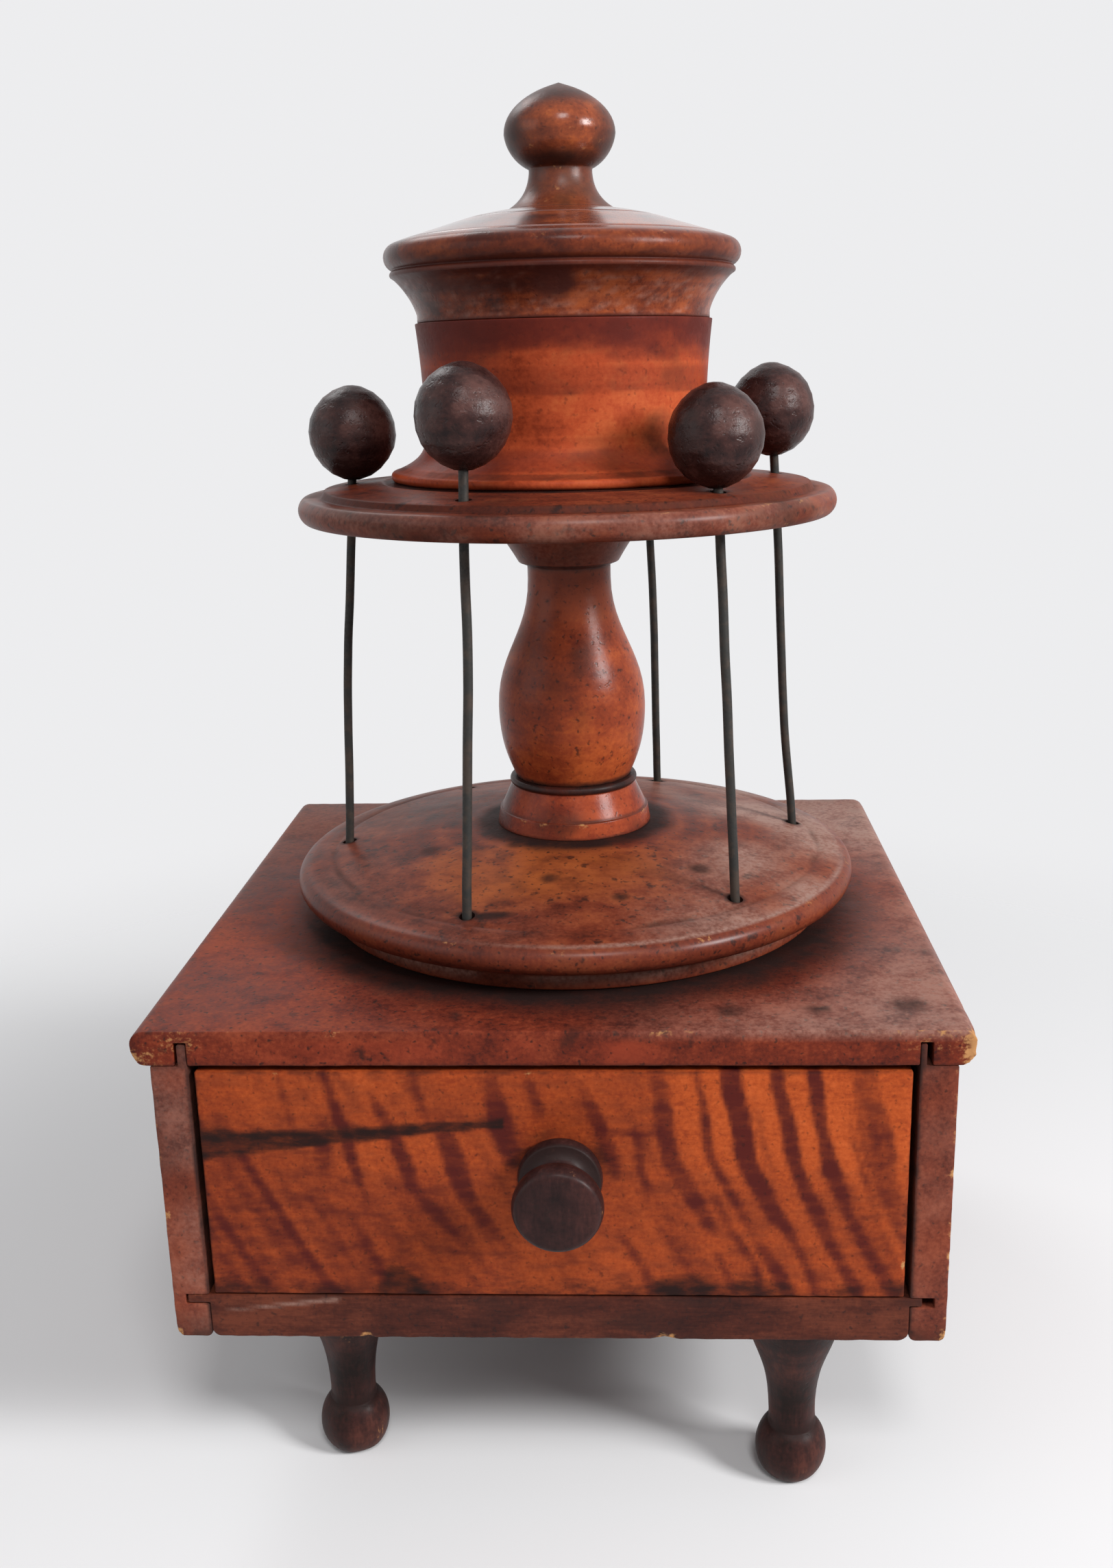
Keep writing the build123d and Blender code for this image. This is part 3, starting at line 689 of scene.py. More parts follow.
def caseSide(hand):
    look = {**sideBoard, **sideBoard[hand]}
    low, high = boxOf("case_side_" + hand)
    crisp, foot, grooveLow, grooveHigh = look["crisp"], look["foot"], look["grooveLow"], look["grooveHigh"]
    inner, outer = insideHalf, sideHigh.x - nailProud
    tongue, groove = inner + look["tongue"], inner + look["grooveDeep"]
    corners = [
        (outer, low.z, foot), (outer, topLow.z, crisp), (tongue, topLow.z, rebateRound),
        (tongue, high.z, crisp), (inner, high.z, crisp), (inner, grooveHigh, crisp),
        (groove, grooveHigh, rebateRound), (groove, grooveLow, rebateRound), (inner, grooveLow, crisp),
        (inner, low.z, foot),
    ]
    if look["sign"] < 0:
        corners = [(-across, up, radius) for across, up, radius in reversed(corners)]
    piece = sawn("sideBoard." + hand, look, corners, low, high, chips=look["chips"])

    def dust(p):
        return look["film"] * ramp(-0.6, 0.4, clouds(p, 15, 0.1))

    def grime(p):
        seam = 0.75 * ramp(1.4, 0.2, abs(p.x) - inner) * ramp(-60, -72, p.y)
        smoke = 0.35 * ramp(0.15, 0.7, speckle(p.x * 0.08, p.y * 0.03, p.z * 0.06, 2))
        return max(seam, 0.62 * ramp(56, 44, p.z), smoke, 0.6 * ramp(106, 108, p.z))

    def bare(p):
        flecks = ramp(-0.1, 0.5, speckle(p.x * 0.6, p.y * 0.3, p.z * 0.6, 6))
        worn = ramp(1.2, 0.1, outer - abs(p.x)) * frontShare(p, end=-73.2) * flecks
        return max(0.85 * chipShare(p, look["chips"]), worn * look["worn"])

    settle(piece, "case", "case_side_" + hand, "case_wood", sideFinish, dust=dust, grime=grime, bare=bare)


bottomBoard = dict(
    foot=2.2, tongueLong=4.8, tongueThick=2, shortBy=2.2, crisp=0.35, wear=0.3, mesh=(1.6, 0.6, 5, 0.7, 3),
    chips=[(-41, caseFront, 44, 1.2, 0.6), (22.5, caseFront, 44, 1.3, 0.7),
           (24.5, caseFront, 44.2, 0.9, 0.4)],
    splinter=[(-71, 50.3, 0.2, 0.3), (-62, 51.4, 0.4, 0.6), (-53, 52.5, 0.7, 0.7), (-47, 53.2, 0.9, 0.7)],
)


def caseBottom():
    look = bottomBoard
    low, high = bottomLow, bottomHigh
    crisp, foot = look["crisp"], look["foot"]
    under = high.z - look["tongueThick"]
    leftEnd = -insideHalf - look["tongueLong"]
    rightEnd = insideHalf + look["tongueLong"] - look["shortBy"]
    corners = [
        (-insideHalf, low.z, foot), (insideHalf, low.z, foot), (insideHalf, under, rebateRound),
        (rightEnd, under, crisp), (rightEnd, high.z, crisp), (leftEnd, high.z, crisp),
        (leftEnd, under, crisp), (-insideHalf, under, rebateRound),
    ]
    piece = sawn("bottomBoard", look, corners, low, high, chips=look["chips"])

    def dust(p):
        return frontShare(p, -71) * strokeShare(p.x, p.z, look["splinter"], 0.4)

    def grime(p):
        smoke = 0.55 * ramp(-0.15, 0.5, clouds(p, 8, 0.05, 0.2))
        return max(smoke, 0.6 * ramp(-60, -40, p.y) * ramp(46, 44, p.z))

    def bare(p):
        flecks = ramp(0, 0.5, clouds(p, 1, 0.5, 0.9))
        runs = ramp(0, 0.4, speckle(p.x * 0.05, 0, p.z * 0.1, 3))
        rim = ramp(1, 0.1, edgeDistance(p, low, high)) * flecks * runs * 0.62 * frontShare(p, -71)
        return max(0.9 * chipShare(p, look["chips"]), rim)

    settle(piece, "case", "case_bottom", "case_wood", bottomFinish, dust=dust, grime=grime, bare=bare)


squareBoard = dict(edge=0.5, wear=0.15, mesh=(6, 0.6, 6, 6, 6))


def plainBoard(name, node, body, finish, stand=alongY):  # a square board, edges eased
    look = squareBoard
    inset = Vector((nailProud, nailProud, nailProud))
    low, high = boxOf(node)
    low, high = low + inset, high - inset
    up = 2 if stand is alongY else 1
    corners = [(x, y, look["edge"]) for x, y in ((low.x, low[up]), (high.x, low[up]),
                                                 (high.x, high[up]), (low.x, high[up]))]
    piece = sawn(name, look, corners, low, high, stand)
    settle(piece, body, node, "plain_wood", finish, grime=lambda p: 0.45 * ramp(0, 0.6, clouds(p, 3, 0.04)))


caseFoot = dict(
    eased=0.35, longest=1.2, steps=72, lumps=0.28,
    outline=trace((0, 0), (4.2, 0), curve((6.8, 0.5), (7.9, 3.6), (7.9, 6.4)),
                  curve((7.9, 9.6), (6.6, 11.9), (5.3, 12.8)), (5.2, 15.5),
                  curve((5.2, 29.6), (9, 32.1), (11.6, bottomLow.z)), (0, bottomLow.z)),
)


def makeFoot(name, seed):
    look = caseFoot
    low, high = boxOf("foot_" + name)
    place = Matrix.Translation(Vector(((low.x + high.x) / 2, (low.y + high.y) / 2, 0)) * mm)

    def lumps(angle, radius, height):
        if height > bottomLow.z - 0.5 or radius < 4.5:
            return 0
        return look["lumps"] * speckle(math.cos(angle) * 1.3, math.sin(angle) * 1.3, height * 0.09, seed)

    def grime(p):
        return max(0.7 * near(p.z, 13.6, 1.6), 0.5 * ramp(3, 0, p.z), 0.4 * ramp(38, 43, p.z))

    def bare(p):
        return 0.3 * ramp(0.3, 0.6, clouds(p, seed, 0.3)) * near(fromAxis(p), 8, 0.8)

    piece = turned("foot." + name, look, look["outline"], place, lumps)
    settle(piece, "case", "foot_" + name, "foot_wood", footFinish, grime=grime, bare=bare)


caseTop()
caseSide("left")
caseSide("right")
caseBottom()
plainBoard("backBoard", "case_back", "case", sideFinish, alongZ)
for footSeed, footName in enumerate(("front_left", "front_right", "back_left", "back_right"), 1):
    makeFoot(footName, footSeed)
print("case made")


# Drawer

frontLow, frontHigh = boxOf("drawer_front")
knobLow, knobHigh = boxOf("drawer_knob")
knobAxis = (knobLow + knobHigh) / 2

drawerFront = dict(
    rebateWide=6, rebateDeep=5, crisp=0.45, wear=0.16, mesh=(0.85, 0.5, 0.85, 2, 2),
    stripes=[  # across from the middle, down from the top edge, width and strength at each point
        [(36.3, -2, 4.3, 0.95), (37, 4.8, 4.5, 0.95), (38.2, 8.5, 4.5, 0.95), (39.2, 15, 4.4, 1),
         (39.9, 19.5, 4.2, 1), (43.2, 27, 3.6, 1), (45.8, 32.4, 3.4, 0.95), (48.2, 35.3, 2.6, 0.8),
         (50.3, 38.8, 1.6, 0.6), (53.1, 45.3, 1.6, 0.6), (54.6, 52, 1.6, 0.6)],
        [(45.6, -2, 3, 0.8), (46.6, 4.8, 3.1, 0.85), (48.1, 11.2, 3.3, 0.9), (49.2, 17.7, 3.3, 0.95),
         (50.3, 21.3, 2.8, 0.9), (52.3, 27, 2.8, 0.85), (54.3, 31.5, 3, 0.85), (57.1, 38, 2.6, 0.75),
         (60.3, 44.3, 2.4, 0.7), (63.4, 51, 2.8, 0.8)],
        [(53.4, -2, 3.4, 0.9), (54.3, 6.6, 3.4, 0.9), (55.3, 13.1, 2.6, 0.8), (56.5, 18.6, 3.2, 1),
         (57.5, 22.3, 3.4, 1), (59.5, 27.8, 2.8, 0.95), (61.5, 33.3, 2.4, 0.85), (64, 38, 2.2, 0.75),
         (67, 43.4, 2.4, 0.75), (71, 51, 2.8, 0.85)],
        [(63.2, -2, 4.4, 0.4), (64.4, 6, 6, 0.42), (65.8, 13, 7.4, 0.55), (67, 19, 7, 0.6),
         (68.6, 24, 4.6, 0.45), (70.6, 31, 2.6, 0.2)],
        [(64, 5, 1.6, 0.2), (65.4, 12, 2.6, 0.75), (66.6, 18, 2.8, 0.8), (67.6, 23, 1.6, 0.3)],
        [(29.8, 0, 1.6, 0.5), (30.9, 7.5, 2, 0.75), (31.7, 13, 2.2, 0.85), (32.5, 19.5, 2, 0.75),
         (34.5, 24, 1.6, 0.6), (37.8, 29.6, 1.6, 0.55), (40.2, 34.2, 1.4, 0.35), (42, 37.5, 1, 0)],
        [(21.4, -1, 3.2, 0.35), (22.8, 7.5, 3.6, 0.6), (23.9, 15, 3.8, 0.85), (24.8, 20.4, 3.6, 0.8),
         (27.3, 25, 3.2, 0.65), (29.7, 29.6, 3.2, 0.75), (32.3, 35, 2.4, 0.6), (34, 38.5, 1.5, 0)],
        [(17.2, 13, 1.6, 0.5), (18, 20.4, 1.9, 0.6), (19.6, 26, 1.8, 0.5), (20, 31, 1.4, 0)],
        [(12, 13.6, 0.9, 0.5), (17, 13.9, 0.9, 0.7), (22.6, 13.6, 0.8, 0.4)],
        [(6.4, 3, 2.2, 0.2), (9.7, 11.6, 3, 0.8), (12.2, 20, 2.6, 0.7), (13.6, 25, 1.6, 0)],
        [(37, 36, 1, 0), (38.6, 39, 1.3, 0.55), (41.8, 44.3, 1.4, 0.6), (43.2, 52, 1.4, 0.5)],
        [(42, 38.5, 1.5, 0), (43.4, 41, 2.2, 0.7), (46.6, 46.2, 2.9, 0.8), (49.4, 52, 2.9, 0.8)],
        [(33, 40.5, 1, 0), (34.4, 43, 1.4, 0.5), (37.8, 51, 1.6, 0.5)],
        [(33.4, 28, 1, 0.2), (35.6, 33, 1.2, 0.4), (38, 38.5, 1.2, 0.2)],
        [(13, 36, 1, 0), (14.6, 38.5, 1.6, 0.45), (18.4, 45.3, 1.6, 0.5), (20.4, 52, 1.6, 0.5)],
        [(22.5, 35.5, 1, 0), (24, 38, 1.4, 0.4), (27.4, 44, 1.4, 0.4), (31, 51, 1.6, 0.5)],
        [(41.6, 6, 1.2, 0.15), (43.4, 15, 1.3, 0.35), (46, 25, 1.2, 0.1)],
        [(60.6, 8, 1.2, 0.2), (62, 17, 1.4, 0.45), (65, 27, 1.4, 0.4), (68, 36, 1.3, 0.3),
         (71.5, 45, 1.3, 0.3)],
        [(-47.2, -2, 1.6, 0.7), (-44.7, 7.9, 2, 0.85), (-42.8, 13.3, 2.6, 0.95), (-41.5, 20, 2.2, 0.85),
         (-39.8, 28, 1.4, 0.4), (-38.5, 33, 1, 0)],
        [(-37.5, 3, 1.2, 0), (-36.2, 6, 2, 0.6), (-32.5, 15, 3.2, 0.85), (-30.6, 21, 3.2, 0.8),
         (-29.2, 27, 2.6, 0.7), (-24.8, 32, 2.4, 0.7), (-20.5, 38, 2, 0.6), (-16.5, 44, 1.6, 0.3),
         (-14.5, 48, 1.2, 0)],
        [(-24, 9, 2.5, 0.2), (-21.8, 15, 4.2, 0.7), (-20.1, 21, 4.6, 0.75), (-18.2, 29, 3.6, 0.6),
         (-13, 36, 2.2, 0.5), (-8, 43, 1.6, 0.2)],
        [(-12.2, 2, 3, 0.3), (-11.4, 6, 4.2, 0.75), (-10.6, 11.5, 4.4, 0.85), (-8.6, 19, 4, 0.6)],
        [(-4.8, 1, 1.4, 0.2), (-3.6, 5, 2, 0.6), (-2.6, 10, 1.8, 0.4)],
        [(-48, 13, 3, 0.3), (-47.8, 17, 3.6, 0.55), (-47.6, 24, 2.6, 0.2)],
        [(-66, 16, 1.2, 0), (-64, 20, 1.5, 0.7), (-61.3, 26, 1.7, 0.8), (-57.4, 33.3, 1.9, 0.85),
         (-54.5, 39.3, 1.8, 0.8), (-50.5, 46.6, 2, 0.85), (-46.6, 52, 2.2, 0.85)],
        [(-74, 27, 1.2, 0.3), (-69, 37, 1.8, 0.75), (-65.6, 43, 1.8, 0.75), (-60.6, 51, 1.8, 0.7)],
        [(-56.5, -1, 1.4, 0.35), (-55, 6, 1.6, 0.45), (-53.8, 12, 1.4, 0.3)],
        [(-28.4, -1, 1.4, 0.35), (-26.8, 6, 1.6, 0.45), (-25.6, 11, 1.4, 0.3)],
        [(-43, 33, 1, 0), (-41, 37.3, 1.6, 0.5), (-38.5, 43, 1.8, 0.6), (-36, 48.5, 2.2, 0.7)],
        [(-71, 43, 1.6, 0.3), (-66.5, 51, 1.8, 0.5)],
        [(-53.5, 24, 1.2, 0), (-47.5, 35, 1.6, 0.4), (-43.5, 44, 1.4, 0.2)],
    ],
    band=[(-73.3, 16.3, 3.9), (-52, 15.3, 1.9), (-31, 13, 1.7), (-10, 11.6, 1)],  # x, down, half
    patches=[  # across, down, how narrow, how flat, radius, softness, strength
        (27, 52, 0.6, 1, 5.6, 0.4, 0.85), (72, 50, 1, 1.4, 4, 0.6, 0.7),
        (47, 51.5, 0.7, 1, 3.6, 0.6, 0.7), (61.5, 51.5, 0.8, 1, 3, 0.6, 0.6),
    ],
    chips=[(73, caseFront, 62, 0.8, 0.2)],
)


def bandShare(across, down):  # the dark tapering streak that starts at the left edge
    points = drawerFront["band"]
    for (x0, y0, h0), (x1, y1, h1) in zip(points, points[1:]):
        if x0 <= across <= x1:
            share = (across - x0) / (x1 - x0)
            half = h0 + (h1 - h0) * share
            return blot(abs(down - y0 - (y1 - y0) * share), half, 0.35)
    return 0


def makeDrawerFront():
    look = drawerFront
    low, high = frontLow, frontHigh
    crisp = look["crisp"]
    step, back = high.x - look["rebateWide"], high.y - look["rebateDeep"]
    corners = [
        (low.x, low.y, crisp), (high.x, low.y, crisp), (high.x, back, crisp), (step, back, rebateRound),
        (step, high.y, crisp), (-step, high.y, crisp), (-step, back, rebateRound), (low.x, back, crisp),
    ]
    piece = sawn("curlyFront", look, corners, low, high, alongZ, look["chips"])
    behind = low.y + 4.5  # from here on the figure isn't drawn

    def figure(p):
        if p.y > behind:
            return 0.5
        across, down = p.x, high.z - p.z
        bend = 0.6 * speckle(p.x * 0.07, p.z * 0.09, 0, 3) + 0.25 * speckle(p.x * 0.3, p.z * 0.4, 0, 5)
        stripe = max(strokeShare(across + bend, down, points) for points in look["stripes"])
        streak = speckle((across - 0.5 * down) * 0.4, down * 0.035, 0, 7)  # faint curl between the stripes
        bright = ramp(18, 32, across) * ramp(29, 16, down)
        embers = stain((across + 30) / 2.4, down - 18.5, 6, 0.6)
        ground = 0.48 + 0.16 * ramp(5, -60, across) * ramp(4, 34, down) - 0.06 * ramp(12, 3, down)
        ground += 0.18 * streak - 0.40 * bright - 0.2 * embers
        return ground + (0.95 - ground) * stripe ** 0.8

    def grime(p):
        if p.y > behind:
            return 0.35
        across, down = p.x, high.z - p.z
        band = 0.85 * bandShare(across, down + 0.5 * speckle(p.x * 0.2, p.z * 0.3, 0, 2))
        knob = math.hypot(across - knobAxis.x, p.z - knobAxis.z)
        halo = 0.6 * ramp(15, 8, knob) * ramp(-0.5, 0.4, speckle(p.x * 0.15, p.z * 0.15, 0, 6))
        patches = [full * stain((across - x) * narrow, (down - y) * flat, radius, soft)
                   for x, y, narrow, flat, radius, soft, full in look["patches"]]
        foot = ramp(45.5, 51.5, down + 2.5 * speckle(p.x * 0.09, 0, 0, 4)) * 0.75
        runs = 0.5 * ramp(-0.25, 0.35, speckle(p.x * 0.055, 2, 0, 5))
        foot *= 0.3 + runs + 0.3 * near(across, 10, 34)
        thumb = 0.85 * blot(abs(across + 33 - 0.3 * (down - 48)), 0.6 + 0.75 * max(0, down - 43), 0.5)
        thumb *= ramp(43, 46, down)
        return max(band, halo, foot, *patches, thumb, 0.5 * ramp(0.9, 0.1, edgeDistance(p, low, high)))

    def bare(p):
        flecks = ramp(0.3, 0.6, speckle(p.x * 0.25, p.y, p.z * 0.25, 2))
        return max(chipShare(p, look["chips"]), 0.5 * flecks * ramp(0.8, 0.1, edgeDistance(p, low, high)))

    settle(piece, "drawer", "drawer_front", "figured_wood", curlyFinish,
           figure=figure, grime=grime, bare=bare)


drawerKnob = dict(base=8.6, waist=5.4, face=9.3, eased=0.3, longest=0.9, steps=96, lumps=0.12)


def makeDrawerKnob():
    look = drawerKnob
    base, waist, face = look["base"], look["waist"], look["face"]
    deep = frontLow.y - knobLow.y
    outline = trace((0, 0), (base, 0), arc((base + 0.25, 1.5), (base - 0.2, 3)),
                    curve((waist + 0.6, 3.4), (waist, 4.6), (waist, 6.2)),
                    curve((waist, 8.2), (waist + 1.4, 9.2), (face - 0.7, 9.7)),
                    arc((face, 11.6), (face - 0.25, 13.4)),
                    curve((face - 0.5, deep - 0.3), (face - 2, deep - 0.2)), (3, deep), (0, deep))
    place = Matrix.Translation(Vector((knobAxis.x, frontLow.y, knobAxis.z)) * mm)
    place = place @ Matrix.Rotation(math.pi / 2, 4, "X")

    def lumps(angle, radius, height):
        return look["lumps"] * speckle(math.cos(angle), math.sin(angle), height * 0.1)

    def grime(p):
        return max(0.8 * near(p.z, 3.4, 0.9), 0.5 * ramp(4, 9, p.z) * ramp(10.5, 8, p.z))

    def bare(p):
        flecks = 0.4 * ramp(0.25, 0.6, clouds(p, 2, 0.3, 0.5))
        return flecks * ramp(face - 1.2, face - 0.2, fromAxis(p)) * ramp(12.5, 14, p.z)

    piece = turned("drawerKnob", look, outline, place, lumps)
    settle(piece, "drawer", "drawer_knob", "dark_wood", knobFinish, grime=grime, bare=bare)


makeDrawerFront()
makeDrawerKnob()
plainBoard("drawerSide.left", "drawer_side_left", "drawer", plainFinish)
plainBoard("drawerSide.right", "drawer_side_right", "drawer", plainFinish)
plainBoard("drawerBack", "drawer_back", "drawer", plainFinish, alongZ)
plainBoard("drawerBottom", "drawer_bottom", "drawer", plainFinish)
print("drawer made")


# Pins

pins = {  # how far the wire is bent sideways, how far up, and the lumps of the ball
    "right": dict(bend=-0.75, at=0.33, seed=2),
    "back_right": dict(bend=0.45, at=0.60, seed=5),
    "left": dict(bend=-0.75, at=0.53, seed=1),
    "front_left": dict(bend=0.62, at=0.68, seed=3),
    "front_right": dict(bend=0, at=0.50, seed=4),
}
spareHole = dict(angle=124, low=57, high=51, deep=5.7)  # the sixth place, which has lost its pin
upperLow, upperHigh = boxOf("upper_disc")


def wireEnds(node, axis):  # both ends of a wire, on its middle line
    points = [vertex.co / mm for vertex in frame["nodes"][node].data.vertices]
    one = axis.cross(Vector((0, 1, 0))).normalized()
    other = axis.cross(one)
    spans = [[point.dot(way) for point in points] for way in (one, other, axis)]
    base = sum((way * (min(span) + max(span)) / 2 for way, span in zip((one, other), spans)), Vector())
    return base + axis * min(spans[2]), base + axis * max(spans[2])


def atHeight(start, end, height):
    return start.lerp(end, (height - start.z) / (end.z - start.z))


for joint in frame["joints"]:
    name = joint["child"].removeprefix("pin_")
    if name in pins:
        pins[name]["axis"] = Vector(joint["axis"]).normalized()
        pins[name]["ends"] = wireEnds("pin_wire_" + name, pins[name]["axis"])

wire = dict(radius=1.05, hole=1.75, steps=60, ripple=0.09, straightFoot=5)


def pinWire(name, look):
    start, end = look["ends"]
    bendAt, seed = look["at"], look["seed"]
    foot = atHeight(start, end, standHigh.z - wire["straightFoot"])
    neck = atHeight(start, end, upperLow.z)
    path = []
    for step in range(wire["steps"] + 1):
        here = start.lerp(end, step / wire["steps"])
        share = (here.z - foot.z) / (neck.z - foot.z)
        if 0 < share < 1:
            side = ramp(0, bendAt, share) if share < bendAt else ramp(1, bendAt, share)
            ripple = wire["ripple"] * speckle(share * 7, 0, 0, seed)
            ripple *= ramp(0, 0.1, share)
            ripple *= ramp(1, 0.9, share)
            here = here + Vector((look["bend"] * side + ripple, ripple, 0))
        path.append(here)
    piece = tube("pinWire." + name, path, wire["radius"])
    settle(piece, "pin_" + name, "pin_wire_" + name, "iron_wire", wireFinish)


ball = dict(half=10.9, radius=10.1, eased=0.4, longest=0.9, steps=96, lumps=0.30, facets=0.10)


def pinBall(name, look):
    low, high = boxOf("pin_ball_" + name)
    half, seed = ball["half"], look["seed"]
    outline = trace((0, -half), (1.9, -half + 0.15), arc((ball["radius"], 0), (2, half - 0.25)),
                    (1.2, half - 0.1), (0, half))

    def lumps(angle, radius, height):
        x, y = radius * math.cos(angle), radius * math.sin(angle)
        soft = ball["lumps"] * speckle(x * 0.11, y * 0.11, height * 0.11, seed)
        facet = ball["facets"] * speckle(x * 0.35, y * 0.35, height * 0.2, seed + 3)
        return (soft + facet) * ramp(0, 5, radius)

    def grime(p):
        return 0.55 * ramp(-0.1, 0.6, clouds(p, seed + 1, 0.12))

    tilt = Vector((0, 0, 1)).rotation_difference(look["axis"]).to_matrix().to_4x4()
    piece = turned("pinBall." + name, ball, outline, Matrix.Translation((low + high) / 2 * mm) @ tilt, lumps)
    settle(piece, "pin_" + name, "pin_ball_" + name, "dark_wood", ballFinish, grime=grime)


for pinName, pinLook in pins.items():
    pinWire(pinName, pinLook)
    pinBall(pinName, pinLook)
print("pins made")


# Stand

boreClear = 4  # a pin hole is cut this far beyond the face it comes out of


def onStand(height):  # on the stand's axis
    return Matrix.Translation(Vector((standAxis.x, standAxis.y, height)) * mm)


def turnOnStand(name, look, height, body, node, finish, lumps=None, **layers):
    piece = turned(name, look, look["outline"], onStand(height), lumps)
    settle(piece, body, node, "turned_wood", finish, **layers)


def pinRuns():  # middle lines of the pin holes, the empty one last
    runs = [look["ends"] for look in pins.values()]
    turn = math.radians(spareHole["angle"])
    out = Vector((math.cos(turn), math.sin(turn), 0))
    middle = Vector((standAxis.x, standAxis.y, 0))
    low = middle + out * spareHole["low"] + Vector((0, 0, standHigh.z - spareHole["deep"]))
    high = middle + out * spareHole["high"] + Vector((0, 0, upperHigh.z))
    return runs + [(low, high)]


def drillPins(piece, base, low, high, mouth):  # gives back where the holes come out, in the disc's frame
    middle = Vector((standAxis.x, standAxis.y, base))
    drill(piece, [(atHeight(*run, low) - middle, atHeight(*run, high) - middle, wire["hole"])
                  for run in pinRuns()])
    return [atHeight(*run, mouth) - middle for run in pinRuns()]


lowerDisc = dict(
    ring=61.1, ringHigh=5.6, rim=68.6, arris=66.3, rimHigh=12, line=60, crown=(42, 16.55), seat=19, top=19.6,
    holeDeep=11, holeMouth=14, eased=0.4, longest=1.3, steps=200,
    stains=[(-13, -19, 2.6), (-4, -38, 2.4), (12, -46, 2), (30, -30, 3), (-34, -18, 3)],  # x, y, radius
)


def makeLowerDisc():
    look = lowerDisc
    ring, ringHigh, arris, rimHigh = look["ring"], look["ringHigh"], look["arris"], look["rimHigh"]
    line, top = look["line"], look["top"]
    outline = trace((0, 0), (ring, 0), (ring, ringHigh), (arris, ringHigh),
                    arc((look["rim"], (ringHigh + rimHigh) / 2), (arris, rimHigh)),
                    (line + 1.6, rimHigh + 1.05), (line, rimHigh + 1), (line - 0.9, rimHigh + 1.45),
                    arc(look["crown"], (look["seat"], top)), (0, top))
    base = standLow.z
    piece = turned("lowerDisc", look, outline, onStand(base))
    holes = drillPins(piece, base, standHigh.z - look["holeDeep"], standHigh.z + boreClear,
                      base + look["holeMouth"])
    smear = holes[3] + Vector((5, -0.6, 0))

    def polish(p):
        return ramp(9, 10.4, p.z) * ramp(64.5, 66, fromAxis(p))

    def dust(p):
        away = fromAxis(p)
        foot = 0.7 * near(p.z, 2.6, 0.9) * ramp(63, 61.6, away) * ramp(59, 60.5, away)
        foot *= ramp(-0.6, 0.2, clouds(p, 2, 0.12, 0))
        # painted highlight: a pale line along the arris at the front right
        glint = 0.8 * near(away, 66.1, 0.45) * ramp(11.4, 11.8, p.z)
        glint *= ramp(-35, 20, p.x)
        glint *= ramp(10, -30, p.y)
        if foot + glint > 0.02:
            return max(foot, glint)
        # painted sheen with dust: the film on the top band grows towards the right
        side = 0.07 + 0.95 * ramp(5, 55, p.x) + 0.05 * ramp(-20, -60, p.x) + 0.15 * ramp(-10, 50, p.y)
        rim = ramp(67.2, 65.4, away) * ramp(11.6, 12.3, p.z)
        middle = 1 - 0.8 * stain((p.x + 4) / 1.5, p.y + 34, 22, 0.6)
        return side * rim * ramp(-0.7, 0.3, clouds(p, 11, 0.05, 0)) * ramp(26, 40, away) * middle

    def figure(p):  # where hands have worn the colour thin
        cloudy = clouds(p, 8, 0.06, 0)
        front = stain((p.x + 4) / 1.7, p.y + 34, 17 + 6 * cloudy, 0.6) * ramp(12, 14, p.z)
        return 0.75 * front * (0.7 + 0.5 * cloudy)

    def grime(p):
        away = fromAxis(p)
        wobble = clouds(p, 3, 0.09, 0)
        # painted shade on the ring under the rim; above it a dark ring of dirt round the collar
        share = 0.2 if p.z < ringHigh + 0.3 else 0.95 * ramp(28 + 3 * wobble, 20.5, away)
        groove = 0.55 * blot(abs(away - line + 0.2), 0.8) * ramp(-0.6, 0.3, wobble)
        mouths = [0.9 * stain(p.x - hole.x, p.y - hole.y, 2.6, 0.4) for hole in holes]
        marks = [0.7 * stain(p.x - x, p.y - y, radius, 0.6) for x, y, radius in look["stains"]]
        smudgeAndShadow = 0.95 * stain((p.x - smear.x) / 3.2, p.y - smear.y, 1.7, 0.6)
        edge = max(0.5 * ramp(ringHigh + 2.6, ringHigh, p.z), 0.29) * ramp(64, 67, away)
        return max(share, groove, *mouths, *marks, smudgeAndShadow, edge)

    def bare(p):
        away, turn = fromAxis(p), math.atan2(p.y, p.x)
        flecks = ramp(0.3, 0.6, speckle(math.cos(turn) * 9, math.sin(turn) * 9, p.z * 0.5, 2))
        under = 0.8 * blot(abs(p.z - ringHigh - 0.2), 0.5) * ramp(65, 66.4, away) * flecks
        return max(under, 0.45 * flecks * near(away, 67.4, 0.7) * ramp(10, 11.6, p.z))

    settle(piece, "stand", "lower_disc", "turned_wood", discFinish,
           polish=polish, dust=dust, figure=figure, grime=grime, bare=bare)


collarLow, collarHigh = boxOf("column_collar")
collar = dict(
    eased=0.25, longest=0.8, steps=144,
    outline=trace((0, 0), (19, 0), (18.3, 3.9), (17.9, 4), (17.8, 4.3), (15.15, 10.1),
                  arc((15.65, 11), (15.15, 11.9)), (0, 11.9)),
)


def makeCollar():
    def grime(p):
        cloudy = 0.62 * ramp(-0.3, 0.5, clouds(p, 1, 0.09, 0.1) - 0.012 * p.x)
        ring = 0.87 * ramp(9.6, 10.6, p.z)
        return max(ring, 0.6 * near(p.z, 4.1, 0.35), 0.7 * ramp(1.2, 0, p.z), cloudy)

    def bare(p):
        return 0.5 * near(p.z, 3.5, 0.5) * ramp(0.2, 0.5, clouds(p, 3, 0.2, 0))

    turnOnStand("collarRing", collar, collarLow.z, "stand", "column_collar", collarFinish,
                grime=grime, bare=bare)


